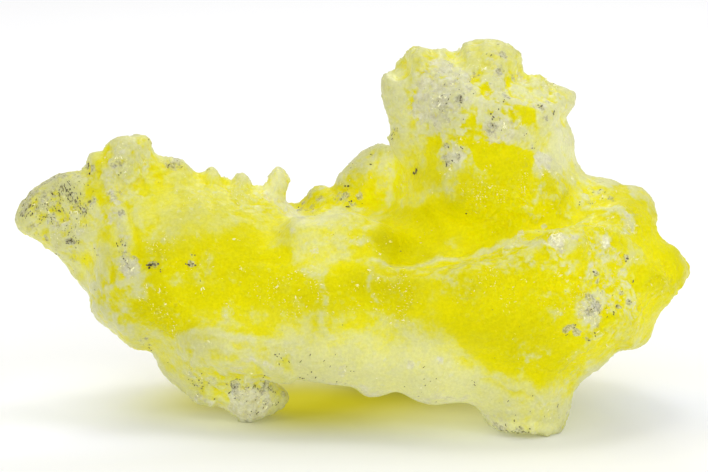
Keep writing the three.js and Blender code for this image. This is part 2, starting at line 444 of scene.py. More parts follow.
# Cracks and seams between the lobes, drawn the same way
cracks = [
    [(14.5, 53), (15, 51.75), (17.5, 48.5), (21.25, 47.25), (25, 49.75)],
    [(6.25, 51), (8, 49), (7.5, 47.25), (8.75, 43.75), (8, 42)],
    [(25, 49.75), (26, 46.75), (25.75, 45), (24.75, 43)],
    [(28.75, 48.75), (28.5, 47), (30.75, 43.25), (28.75, 41), (28.75, 39), (31, 36)],
    [(11.5, 53.5), (11.75, 52), (10.25, 50.25)],
    [(13.75, 44.5), (15.75, 44.25), (17.75, 45), (19.5, 44.25), (21.25, 45), (23, 44.25), (24, 45.5)],
    [(-39.25, 36.25), (-38.5, 32), (-38, 27), (-36, 20.5)],
    [(-37, 38.5), (-37.25, 35), (-35.5, 30.5), (-34.5, 25)],
    [(-35, 35.75), (-34, 31.5), (-32.5, 27.25), (-31.5, 22.75)],
    [(-36.5, 39), (-35.5, 38.5), (-34.75, 37)],
    [(-29, 38), (-28.75, 37), (-27.5, 35.75), (-23.75, 35.75)],
    [(-22.5, 35.25), (-22, 34), (-22.75, 32.75)],
    [(-18.75, 34.5), (-18.25, 31.75)],
    [(-14, 33.5), (-12.5, 31), (-9.5, 30.75)],
    [(-31.75, 22), (-30, 21), (-28, 20.5), (-26, 22), (-24.5, 21.25), (-23, 22.5)],
    [(-23.5, 23.75), (-23.5, 21), (-21.75, 19), (-20, 19.75), (-19, 21.5)],
    [(3.75, 38.75), (3, 36), (2.75, 31.5), (3.25, 29.5)],
    [(4.5, 20.5), (9, 20), (12, 20.5), (19, 22.25), (26, 25.25)],
    [(4.5, 22), (9, 21.75), (13.5, 23.5)],
    [(-22.5, 6), (-19.25, 3.75), (-18.25, 4.25), (-16, 3.75), (-13.75, 4.5), (-10, 3)],
    [(-24.5, 8), (-25.25, 6), (-23.75, 4), (-20, 1.75)],
    [(19.5, 3.75), (23.5, 1.75), (26, 1.25), (28.5, -0.5), (30.5, 0.25)],
    [(38.25, 25.25), (36.25, 21.5), (35, 21)],
    [(43.75, 24.25), (42.5, 19.75), (43.25, 17.25), (42.5, 14.75)],
    [(45.25, 25.5), (44.5, 21.5)],
    [(34.25, 14.25), (30.75, 10)],
    [(39, 16), (36.5, 13.25), (37.5, 11), (36.75, 9.25)],
]
CRACK_WIDTH = 0.45
CRACK_DEPTH = 0.28


def distance_to_path(points, path):
    """How far each point is from a line, in space or as seen flat"""
    best = np.full(len(points), 1e9)
    for a, b in zip(path[:-1], path[1:]):
        along = b - a
        t = np.clip(((points - a) @ along) / max(along @ along, 1e-9), 0, 1)
        best = np.minimum(best, np.linalg.norm(points - a - t[:, None] * along, axis=1))
    return best


def on_skin(line):
    """The path of a drawn line, looked up about every millimetre along it"""
    path = []
    for (u0, w0), (u1, w1) in zip(line[:-1], line[1:]):
        steps = max(2, round(math.hypot(u1 - u0, w1 - w0)))
        for t in np.arange(steps) / steps:
            path.append(sighted(u0 + (u1 - u0) * t, w0 + (w1 - w0) * t)[0])
    path.append(sighted(*line[-1])[0])
    return np.array(path)


def layers(points, normals, centre, reach, across, pitch, height):
    """Thin stacked plates seen edge-on: fine steps along one direction"""
    across = np.array(across) / np.linalg.norm(across)
    travel = points @ across / pitch + 0.5 * drift(points, 5, 31) + 0.25 * drift(points, 1.6, 32)
    saw = travel - np.floor(travel)
    edge_on = 1 - np.abs(normals @ across)
    plates = soft(saw, 0, 0.85) - soft(saw, 0.85, 1)
    return near(points, centre, reach) * soft(edge_on, 0.2, 0.8) * plates * height


paths = {name: on_skin(line) for name, (width, height, line) in crests.items()}
seams = [on_skin(line) for line in cracks]


def billow(points, size, seed):
    """Rounded swells with sharp creases between them"""
    return np.abs(drift(points, size, seed)) - 0.3


def chipped(points, size, seed):
    """Flat-faced chips about this many millimetres wide, each leaning its own way"""
    rng = np.random.default_rng(seed)
    jitter = rng.uniform(0, 1, (32, 32, 32, 3))
    lean = rng.normal(0, 0.3, (32, 32, 32, 3))
    rise = rng.uniform(-0.1, 0.1, (32, 32, 32))
    at = points / size
    cell = np.floor(at).astype(int)
    closest = np.full(len(points), 1e9)
    lift = np.zeros(len(points))
    for corner in np.ndindex(3, 3, 3):
        own = cell + np.array(corner) - 1
        a, b, c = (own % 32).T
        away = at - own - jitter[a, b, c]
        square = (away ** 2).sum(axis=1)
        take = square < closest
        tilted = (away * lean[a, b, c]).sum(axis=1) + rise[a, b, c]
        lift[take] = tilted[take]
        closest[take] = square[take]
    return lift * size


# Broken flat faces: across, up, reach (mm), the way each faces, how flat
flats = [
    (-43.5, 29.0, 7.5, (-0.35, -0.92, 0.18), 0.85),
    (-41.0, 23.5, 6.0, (-0.30, -0.86, -0.42), 0.8),
    (47.5, 21.5, 4.5, (0.45, -0.82, 0.35), 0.85),
    (45.5, 16.5, 4.5, (0.45, -0.82, -0.35), 0.8),
    (37.5, 20.0, 6.0, (0.42, -0.90, 0.10), 0.7),
    (31.0, 10.5, 6.0, (0.25, -0.92, -0.30), 0.6),
    (39.5, 28.5, 4.0, (0.40, -0.80, 0.45), 0.6),
    (24.0, 20.0, 6.0, (0.10, -0.99, 0.05), 0.4),
]


def scraped(points, normals):
    for u, w, reach, way, flatness in flats:
        way = np.array(way) / np.linalg.norm(way)
        share = near(points, sighted(u, w)[0], (reach, reach, reach)) * soft(normals @ way, 0.25, 0.65)
        middle = (points * share[:, None]).sum(axis=0) / share.sum()
        off = (points - middle) @ way
        points = points - (off * share * flatness)[:, None] * way
    return points


def web():
    pairs = np.empty(len(mass.data.edges) * 2, dtype=int)
    mass.data.edges.foreach_get("vertices", pairs)
    return pairs.reshape(-1, 2)


def evened(values, pairs, times):
    """Values averaged with their neighbours' along the edges"""
    count = len(values)
    a, b = pairs[:, 0], pairs[:, 1]
    tally = np.bincount(a, minlength=count) + np.bincount(b, minlength=count) + 1
    for _ in range(times):
        total = values.copy()
        total += np.bincount(a, values[b], count)
        total += np.bincount(b, values[a], count)
        values = total / tally
    return values


def settled(points):
    """Bumps melted into the skin: fully on the waxy parts, less on the tower and the feet"""
    pairs = web()
    flat = points.copy()
    for i in range(3):
        flat[:, i] = evened(points[:, i], pairs, 14)
    rough = 0.6 * near(points, (17, 2, 47), (19, 30, 13)) + near(points, (-11.5, 3.6, 33), (4, 6, 5))
    rough += 0.6 * footing_zone(points) + 0.5 * near(points, (38, -2, 20), (14, 30, 16))
    melt = 1 - 0.45 * np.clip(rough, 0, 1)
    points = points + (flat - points) * melt[:, None]
    for i in range(3):
        flat[:, i] = evened(points[:, i], pairs, 40)
    sheet = near(points, (-2.5, -8, 24.5), (9, 10, 8)) + near(points, (3, -10, 6), (18, 12, 6))
    return points + (flat - points) * np.clip(sheet, 0, 1)[:, None]


def carve():
    points = settled(spots(mass))
    set_spots(mass, points)
    normals = facing(mass)
    points = scraped(points, normals)
    lift = np.zeros(len(points))
    sugary = np.clip(sugary_zone(points), 0, 1)
    crusty = np.clip(crusty_zone(points) + footing_zone(points), 0, 1)
    waxy = near(points, (8, -10, 6), (22, 18, 8))
    wedge = near(points, (-44, 0, 29), (10, 30, 10))
    calm = (1 - 0.75 * waxy) * (1 - 0.6 * wedge)
    wander = points + 0.5 * np.stack([drift(points, 1.5, s) for s in (41, 42, 43)], axis=1)
    wander += 0.25 * np.stack([drift(points, 0.7, s) for s in (44, 45, 46)], axis=1)
    for name, (width, height, _) in crests.items():
        lift += height * np.exp(-(distance_to_path(wander, paths[name]) / width) ** 2)
    for path in seams:
        lift -= CRACK_DEPTH * np.exp(-(distance_to_path(wander, path) / CRACK_WIDTH) ** 2)
    bowl = near(points, sighted(9.5, 25.5)[0], (9, 9, 7))
    beside = np.exp(-(distance_to_path(points, paths["ledge"]) / 1.8) ** 2)
    quiet = calm * (1 - 0.8 * bowl) * (1 - 0.7 * beside)
    lift += (0.08 + 0.24 * crusty + 0.2 * sugary) * quiet * chipped(wander, 2.3, 5)
    lift += (0.10 + 0.22 * crusty + 0.26 * sugary) * quiet * chipped(wander, 1.2, 6)
    lift += 0.22 * drift(points, 4.2, 1) * calm
    lift += (0.06 + 0.14 * crusty) * calm * billow(wander, 2.1, 2)
    lift += (0.05 + 0.13 * crusty + 0.12 * sugary) * calm * billow(wander, 1.1, 3)
    lift += (0.03 + 0.10 * crusty + 0.13 * sugary) * calm * billow(wander, 0.6, 4)
    lift += layers(points, normals, (46, -1, 21), (7, 14, 9), (1, 0, 0.85), 0.9, 0.3)
    lift += layers(points, normals, (43, -2, 28), (6, 14, 6), (1, 0, 0.15), 0.8, 0.25)
    lift += layers(points, normals, (-44, 0, 30), (9, 20, 8), (0.6, 0.2, -1), 1.1, 0.15)
    lift += soft(-points[:, 0], 36, 41) * (0.16 * drift(points, 1.5, 8) + 0.09 * drift(points, 0.7, 9))
    set_spots(mass, points + normals * lift[:, None])


carve()
fit_outline(reach=1.8, width=0.6, depth_in=1.6, times=2)


def roughened(points):
    """Fine unevenness, strongest on the worn left end and the upper crust"""
    rough = 0.5 + soft(-points[:, 0], 30, 40) + 0.4 * np.clip(crusty_zone(points), 0, 1)
    rough *= 1 - 0.7 * near(points, (8, -10, 6), (22, 18, 8))
    lift = 0.12 * rough * (drift(points, 1.1, 51) + 0.7 * drift(points, 0.6, 52))
    return points + facing(mass) * lift[:, None]


set_spots(mass, roughened(spots(mass)))


def flatten_feet():
    points = spots(mass)
    low = soft(points[:, 2], 0.0, 0.5)
    points[:, 2] = np.where(points[:, 2] < 0.5, np.maximum(points[:, 2], 0) * low, points[:, 2])
    set_spots(mass, points)


flatten_feet()
alone(mass)
bpy.ops.object.shade_smooth()
tree = skin_tree()

# Dabs of colour and texture: across, up, radius (mm), strength
dabs = {
    "depth": [
        # grey wedge, left ridges and top left knob
        (-43.5, 29, 6.5, 0.3), (-38, 17.5, 6, 0.32), (-42, 23.5, 3, 0.35), (-45.5, 31, 2, 0.45),
        (-40, 27.5, 1.5, 0.6), (-43, 31, 1.2, 0.6), (-39, 32.5, 1.2, 0.5), (-36.5, 31, 2, 0.75),
        (-35, 26, 1.6, 0.7), (-37.5, 36.5, 1.5, 0.6), (-34.4, 34, 1.5, 0.2), (-34, 30, 1.2, 0.2),
        (-36, 35, 1, 0.35), (-34.5, 23.5, 1.3, 0.45), (-33, 38.5, 2.7, 0.35), (-31, 40, 1.2, 0.75),
        (-34, 37, 1.5, 0.3), (-32, 36.5, 1.2, 0.45),
        # upper left face
        (-24, 32.5, 7.5, 0.5), (-28, 34, 3, 0.5), (-29.5, 33, 2, 0.8), (-27.5, 31, 1.8, 0.8),
        (-24, 28.5, 3.7, 0.65), (-18, 32.5, 3.7, 0.35), (-15.5, 33.5, 3.3, 0.3), (-20.5, 31, 2, 0.45),
        (-32.5, 28, 2.2, 0.3), (-31.5, 32, 1.8, 0.45), (-25.5, 36.5, 2, 0.4), (-30, 25.5, 2.4, 0.65),
        (-29, 23.5, 2.7, 0.75), (-26.5, 26, 1.5, 0.5), (-23, 25, 2, 0.7),
        # yellow belt on the left
        (-33.5, 21, 2.2, 0.25), (-35, 18.5, 2, 0.3), (-26, 21, 3.8, 0.9), (-31, 19.5, 2, 0.95),
        (-29, 18, 3, 0.9), (-22, 22, 2, 0.68), (-19, 23.5, 3, 1), (-18, 26, 1.8, 0.95),
        (-14.5, 21, 5, 0.95), (-9, 17.5, 4.4, 0.95), (-17, 16, 4.4, 0.9), (-6.5, 19.5, 2, 0.95),
        (-13.5, 25, 1.8, 0.85), (-30.5, 15.5, 3.7, 0.85), (-24.5, 14.5, 3.7, 0.92), (-34, 14, 2, 0.55),
        (-20, 12, 3.3, 0.7), (-14, 11, 1.3, 0.9), (-11.5, 13, 3.6, 0.65), (-7.5, 11.5, 3, 0.5),
        (-17.5, 13.5, 1.8, 0.6), (-27, 11.5, 1.8, 0.75),
        # saddle and the middle below it
        (-6.5, 25, 3.6, 0.28), (-2, 23.5, 3.3, 0.32), (-4, 25.5, 1.3, 0.75), (-1.5, 28, 3.7, 0.27),
        (2, 26.5, 2, 0.45), (-12.5, 29.5, 2.7, 0.45), (-13.5, 28, 2.4, 0.6), (-10, 26, 1.8, 0.5),
        (4, 24.5, 1.8, 0.9), (-8.5, 29, 1.3, 0.2), (-7.5, 21.5, 1.2, 0.35), (-12, 33, 2.2, 0.12),
        (-11, 35, 1.6, 0.1), (-2.5, 17.5, 2.2, 0.95), (-0.5, 14.5, 3, 0.85), (1.5, 19, 2.4, 0.95),
        (3.5, 16, 3, 0.92), (7, 17.5, 3, 0.92), (-2, 11.5, 3, 0.55), (2.5, 11.5, 3.6, 0.65),
        (7, 10.5, 3, 0.7), (6, 14, 2, 0.9), (-8, 16, 2, 0.9),
        # bowl and the slopes up to the tower
        (10, 26, 4.4, 1), (7, 23.5, 3.3, 1), (6, 27.5, 3, 1), (12.5, 29, 3, 1), (2.5, 25.5, 1.2, 0.8),
        (15, 25, 1.3, 0.55), (19, 26.5, 3.6, 0.97), (21.5, 30.5, 5.6, 0.93), (17, 32.5, 2.7, 0.97),
        (14, 30.5, 2, 0.97), (27.5, 28.5, 2.7, 0.75), (30.5, 31.5, 3.3, 0.72), (32.5, 28.5, 2, 0.6),
        (24.5, 35, 2, 0.95), (28, 34, 2, 0.85), (1.5, 33.5, 3, 0.75), (2.5, 31, 1.2, 1), (4, 37, 0.8, 0.95),
        (-4.5, 31, 2, 0.6), (-1.5, 32, 1.8, 0.4), (4.7, 34, 1, 0.35), (5, 37, 1.2, 0.35),
        (5.5, 32, 1.3, 0.45), (7.5, 34, 2.4, 0.55), (11.5, 33.5, 1.8, 0.6), (8, 38.5, 2, 0.42),
        (6.5, 40, 1.2, 0.4), (11, 38, 1.3, 0.9), (12.5, 35, 1.3, 0.85), (15, 38.5, 2.4, 0.35),
        (20, 39.5, 2, 0.97), (23.5, 37, 2, 1), (18, 40, 1.2, 0.8), (27.3, 37.5, 1.2, 0.3),
        # tower and its right column
        (18.5, 49, 9.2, 0.24), (7.5, 46, 2.4, 0.35), (18.5, 47, 1, 1), (24.5, 44, 1.3, 0.97),
        (23.5, 43, 0.9, 0.9), (15.25, 48, 0.6, 0.85), (15, 42, 1.3, 0.75), (17, 41.5, 1.2, 0.75),
        (22.3, 49.5, 1, 0.85), (16, 52, 0.9, 0.6), (19.3, 53.5, 1.5, 0.5), (27, 49.5, 1.2, 0.65),
        (29, 46.5, 1.2, 0.5), (26.3, 41.5, 1.2, 0.75), (28.75, 38.75, 0.9, 0.5), (8, 46.5, 1, 0.5),
        (14, 49.3, 0.9, 0.6), (11, 44.5, 0.7, 0.55), (21.3, 45, 0.7, 0.7), (17, 44, 0.7, 0.6),
        (31.5, 41, 2, 0.22), (34, 36.5, 1.5, 0.3),
        # shoulder, under the ledge and the yellow belt on the right
        (36.5, 31, 3.7, 0.5), (40, 31, 2.5, 0.78), (42.5, 28.5, 2, 0.92), (43.75, 29.5, 0.7, 0.4),
        (38.5, 27.5, 2.7, 0.7), (35, 32.5, 1.3, 0.35), (11.5, 17.5, 3.7, 0.78), (7, 19.5, 2.7, 0.82),
        (16, 19.5, 3.6, 0.65), (21.5, 21.5, 3, 0.5), (26.5, 24.5, 2.2, 0.35), (31, 25, 2.7, 0.35),
        (15, 12.5, 4.4, 0.97), (22, 15.5, 5.2, 0.9), (25, 9.5, 5, 1), (20.5, 11, 4.4, 1),
        (29, 15.5, 4, 0.85), (28, 9.5, 4, 1), (31, 9.5, 2.7, 0.95), (32.5, 6, 2.7, 0.92),
        (28.5, 4.5, 2.7, 0.92), (33, 3, 1.5, 0.92), (12.5, 15.5, 2, 0.75),
        # right face and tip
        (36.5, 22, 4, 0.48), (36, 16, 3.3, 0.35), (35, 13, 2.4, 0.3), (39.5, 17.5, 3.6, 0.5),
        (42.5, 22, 2.7, 0.5), (33, 17.5, 1.8, 0.8), (37, 19, 1.2, 0.8), (39, 20.5, 1, 0.85),
        (37.75, 11.75, 1.2, 0.75), (40, 13.5, 1.2, 0.8), (34, 16, 0.9, 0.8), (45.5, 23.5, 2, 0.92),
        (47, 20.5, 2.4, 0.92), (45, 16, 3, 0.85), (43, 11.5, 2.7, 0.75), (38.5, 9, 2.7, 0.7),
        (35, 8, 1.6, 0.55), (48.7, 22, 1.2, 0.6), (43.5, 18.5, 1.5, 0.85),
        # pale band along the bottom, lumps at the lower left and both feet
        (-8, 7, 3, 0.15), (-3.5, 5, 3.7, 0.12), (2.5, 4.5, 3.7, 0.1), (8.5, 4.5, 3.7, 0.05),
        (13, 3.5, 3.7, 0.05), (16.5, 2, 3, 0.05), (19, 4.5, 2.4, 0.2), (-9.5, 9, 2, 0.2),
        (22, 3.5, 2, 0.45), (11.5, 9, 3.6, 0.55), (17.5, 7.5, 3, 0.8), (7, 8, 2.7, 0.3),
        (-0.5, 9, 3, 0.3), (-23, 8.5, 3, 0.25), (-19.25, 9, 1.3, 0.5), (-26, 7, 3, 0.2),
        (-22.5, 3, 3, 0.25), (-18.5, 4.5, 2.2, 0.15), (-16, 3, 1, 0.55), (-12, 4.5, 1.3, 0.5),
        (-30.5, 10.5, 1.8, 0.25), (-17.5, 8.3, 1.2, 0.35), (-15.7, 0, 3.3, 0.08), (-17.7, 5.5, 1, 0.45),
        (22, -1, 3, 0.15), (28, -1, 3, 0.2), (32, -1.75, 1.5, 0.1), (-13.75, 4, 0.9, 0.45),
        (28.75, 1.25, 1.3, 0.25),
    ],
    "specks": [
        (-43.5, 29, 5.3, 0.95), (-39, 31, 2, 0.8), (-38.5, 23.5, 2, 0.5), (-45.5, 29.5, 2, 1),
        (-41.5, 25, 1.5, 1), (-39, 34.5, 1.2, 0.8), (-34.5, 24.3, 1.5, 0.7), (-27, 37, 1.8, 0.5),
        (-34, 22, 1, 0.7), (-30, 21.5, 1, 0.8), (-24.3, 22, 0.7, 0.7), (-31.3, 9.5, 1.2, 0.7),
        (-35, 35.5, 1.5, 0.4), (-22, 17.5, 3.8, 0.12), (-30, 29, 3.8, 0.15), (-1, 32, 1.8, 0.9),
        (-6.25, 29.75, 1.3, 0.9), (-7.5, 31, 1.2, 0.6), (-2.5, 31, 1.5, 0.5), (14, 46, 4.4, 0.4),
        (21, 52, 2.7, 0.55), (20.5, 48.5, 3, 0.5), (20, 41.5, 1.8, 0.6), (27, 45, 1.8, 0.55),
        (14.5, 38, 1.8, 0.75), (6, 41.5, 0.7, 0.9), (6.75, 48.25, 1.5, 0.3), (26.5, 40, 1.3, 0.6),
        (28.75, 48.5, 0.6, 0.9), (36, 32, 2, 0.6), (40.25, 22.5, 1.3, 0.7), (36, 16, 2.7, 0.6),
        (41, 17.5, 2, 0.5), (36, 10.75, 1.5, 0.4), (32.5, 28, 1.3, 0.3), (39, 14, 0.9, 0.7),
        (-15.75, 0.5, 3.6, 0.9), (-13, 2, 1.8, 1), (-18.5, 2.5, 1.3, 1), (-11, 6.8, 1.8, 0.7),
        (-23, 3, 2.7, 0.75), (-12, 0.2, 1.3, 0.9), (-3.5, 5, 6, 0.25), (10, 3, 5.3, 0.15),
        (22, -1.75, 3.8, 0.35), (23, -3.7, 2, 0.9), (-27.25, 6.5, 1.8, 0.5), (31, 0.25, 1.2, 0.5),
        (-30.5, 8.25, 0.9, 0.7),
    ],
    "broken": [
        (-43, 28, 7.5, 0.55), (-35.5, 30, 3.5, 0.6), (-33, 38, 4, 0.6), (-33.5, 21, 3, 0.6),
        (-24, 31, 8, 0.08),
        (-28.5, 16, 6, 0.6), (-16, 20, 6, 0.35), (-21.8, 21.5, 2.5, 0.5), (-8, 18, 5, 0.4),
        (-4, 26, 5.5, 0.2),
        (2, 25, 2.5, 0.5), (-1, 31.5, 3, 0.8), (-12, 31, 3, 0.5), (4, 16, 5.5, 0.45), (14, 18, 4, 0.4),
        (8, 25, 4.5, 0.2), (6, 36, 4.5, 0.35), (22, 31, 6.5, 0.55), (29, 32, 5, 0.65), (26, 24.5, 5, 0.7),
        (35, 26, 5, 0.8), (17.5, 46, 10.5, 0.9), (7, 47, 3.5, 0.5), (31, 39, 3, 0.4), (15, 38.5, 3, 0.95),
        (28, 46.5, 3.5, 0.7), (21, 40.5, 3, 0.85), (37.5, 17, 8, 0.8), (41, 29, 4.5, 0.6),
        (46.5, 20, 3.5, 0.5),
        (28, 14, 5, 0.35), (22, 18, 4, 0.45), (34, 8, 4, 0.7), (-15.5, 1, 4.5, 0.6), (-23.5, 5.5, 5, 0.45),
        (-13, 7, 3, 0.4), (2, 4.5, 6, 0.08), (12, 4, 6, 0.06), (-6, 6, 4, 0.12), (23, -1, 5, 0.2),
        (29, -1, 4, 0.25),
    ],
    "sugar": [
        (22.5, 31, 5.6, 1), (15.5, 32.5, 2, 0.9), (18.5, 29.5, 2.4, 0.9), (29, 32.5, 3.3, 0.9),
        (24.5, 36.5, 2.4, 0.8), (8.5, 25, 3.8, 0.12), (11, 27.5, 2.7, 0.2), (36.5, 25, 4.7, 1),
        (40.5, 29, 3.6, 0.9), (36.5, 16, 5, 0.9), (29, 16, 4.4, 0.7), (42.5, 13, 3.6, 0.8),
        (46, 20, 3.6, 0.6), (32.5, 5, 3.6, 0.7), (21.5, 17.5, 4.4, 0.6), (25, 9, 4.4, 0.35),
        (17.5, 16, 3, 0.6), (5.5, 16, 4.4, 0.7), (-1.5, 16, 3, 0.6), (-9.5, 17.5, 5, 0.55),
        (-17, 17.5, 4.4, 0.55), (-28, 14.5, 4.4, 0.9), (-23, 23.5, 3.6, 0.5), (-28, 23.5, 3.3, 0.6),
        (-36, 29.5, 2, 0.5), (-33, 38, 2.4, 0.6), (-24, 31, 5, 0.3), (-17, 32.5, 3.6, 0.5),
        (-42, 28, 5, 0.3), (-1.5, 26, 3.8, 0.35), (-6.5, 26, 2.4, 0.25), (1.5, 24.5, 1.8, 0.8),
        (17, 47.5, 7.4, 0.35), (29, 47, 1.8, 0.8), (31, 39.5, 1.8, 0.6), (14.5, 38.5, 1.8, 0.7),
        (7.5, 34, 2.4, 0.35), (1.5, 34, 2.4, 0.6), (-8, 6, 4.4, 0.12), (2.5, 4.5, 4.4, 0.08),
        (13, 3.5, 4.4, 0.05), (26.5, -0.5, 4.4, 0.12), (-15.5, 0.5, 3.3, 0.4), (-23, 5, 3.8, 0.25),
    ],
}

# Areas strewn with small spots at random: across, up, reach of the area, how many, radius of a spot, value
strewn = {
    "crust": [
        (11, 46, 0, 1, 4.7, 0.6), (14, 48.5, 0, 1, 3.6, 0.6), (12.5, 51, 0, 1, 2.2, 0.7),
        (21.5, 41.5, 0, 1, 2.7, 0.55), (27, 45.5, 0, 1, 2, 0.5), (21, 52.5, 0, 1, 2.7, 0.35),
        (27.4, 37.5, 0, 1, 1.2, 0.85), (15, 38, 0, 1, 1.6, 0.65), (20.5, 48.5, 3.5, 3, 1.6, 0.5),
        (31.3, 40, 0, 1, 1.5, 0.35), (-15.7, 0, 0, 1, 3, 0.75), (-16.5, 5, 2, 2, 1.3, 0.5),
        (-33.3, 21, 0, 1, 1.8, 0.65), (-35, 29.5, 1.8, 5, 0.9, 0.5), (-34, 38.5, 0, 1, 0.7, 0.8),
        (-42, 28.5, 2.5, 3, 2, 0.33), (30, 25.3, 1.5, 3, 0.9, 0.8), (37.5, 24.5, 0, 1, 0.8, 0.85),
        (28, 27.25, 0, 1, 0.7, 0.8), (40.25, 29, 0, 1, 0.7, 0.65), (25, 25.6, 1.2, 2, 1.1, 0.42),
        (-5, 26.5, 4.5, 5, 0.9, 0.45), (-13, 32.5, 2.5, 2, 0.9, 0.4), (35.25, 14.5, 0, 1, 2.5, 0.5),
        (37.5, 19, 3.6, 5, 1.3, 0.45), (8.5, 6, 0, 1, 0.9, 0.65), (13, 6.8, 0, 1, 0.7, 0.65),
        (-3, 3, 2.4, 2, 1.5, 0.45), (22, -3.4, 0, 1, 2, 0.5), (13.5, 0.5, 4, 2, 2, 0.35),
        (32.25, -1.25, 0, 1, 0.7, 0.75), (-13, 6, 0, 1, 0.9, 0.5),
    ],
    "dust": [
        (-43.5, 29.7, 0, 1, 5, 0.25), (-42, 25, 0, 1, 1, 1), (-44, 31.8, 1.8, 3, 1.7, 0.42),
        (-39.5, 30.3, 1.4, 3, 0.9, 0.6), (-38.7, 36.3, 0.7, 2, 0.7, 0.85), (-45, 27, 2.2, 4, 0.7, 0.62),
        (-26.5, 37.5, 1.4, 2, 1.6, 0.65), (-35.2, 32, 1, 4, 0.8, 0.5), (-35, 36.7, 1, 3, 0.8, 0.5),
        (-34.25, 29.25, 0, 1, 0.7, 0.9), (-29.75, 21.5, 0, 1, 0.7, 1), (-24.25, 21.5, 0, 1, 0.6, 1),
        (-33.3, 22.2, 1.4, 3, 0.65, 0.7), (-32.5, 37, 2, 3, 0.65, 0.4), (-0.7, 32, 1.4, 2, 0.95, 0.85),
        (-7.3, 30.5, 1.2, 3, 0.8, 0.57), (-1.3, 30.7, 2, 2, 0.65, 0.5), (13, 45.8, 0, 1, 1.9, 0.32),
        (15.25, 46.25, 0, 1, 0.6, 1), (21.75, 52.75, 0, 1, 1, 0.9), (21.3, 47.8, 2.4, 4, 0.9, 0.58),
        (20, 42, 0, 1, 1.2, 0.65), (14, 38.2, 1.6, 4, 0.7, 0.75), (27.7, 44.7, 1.4, 3, 0.65, 0.68),
        (15.5, 50, 3.6, 6, 1, 0.4), (12.8, 44, 1.8, 3, 0.9, 0.4), (23.5, 50, 2, 3, 0.8, 0.5),
        (26.2, 39, 0, 1, 0.6, 0.8), (6, 41.75, 0, 1, 0.6, 0.5), (35.7, 15.2, 1.4, 3, 1, 0.86),
        (32.4, 11.7, 1, 3, 0.65, 0.95), (36.2, 19.6, 0.8, 2, 0.5, 0.7), (40.5, 22.5, 0, 1, 0.6, 0.9),
        (40.3, 16.2, 2, 3, 0.6, 0.75), (36.2, 32.5, 2, 4, 1, 0.45), (36.2, 11, 1.6, 3, 0.55, 0.62),
        (-17.8, 2.5, 0.9, 2, 1, 0.9), (-13, 2.6, 0.9, 2, 0.9, 0.85), (-16.25, -2.75, 0, 1, 0.7, 0.55),
        (-10.5, 1.5, 0, 1, 0.7, 0.7), (-14.8, -0.3, 3, 3, 1, 0.42), (-31.3, 9.8, 1, 3, 0.5, 0.78),
        (-24.5, 3.5, 2.6, 4, 1.1, 0.45), (22, -3.9, 0, 1, 1.6, 0.65), (25, -4.3, 0, 1, 1, 0.8),
        (20.5, -3.5, 0, 1, 0.7, 0.6), (-1.5, 3, 0, 1, 1.5, 0.3), (31, -2.3, 0, 1, 0.6, 0.5),
    ],
}


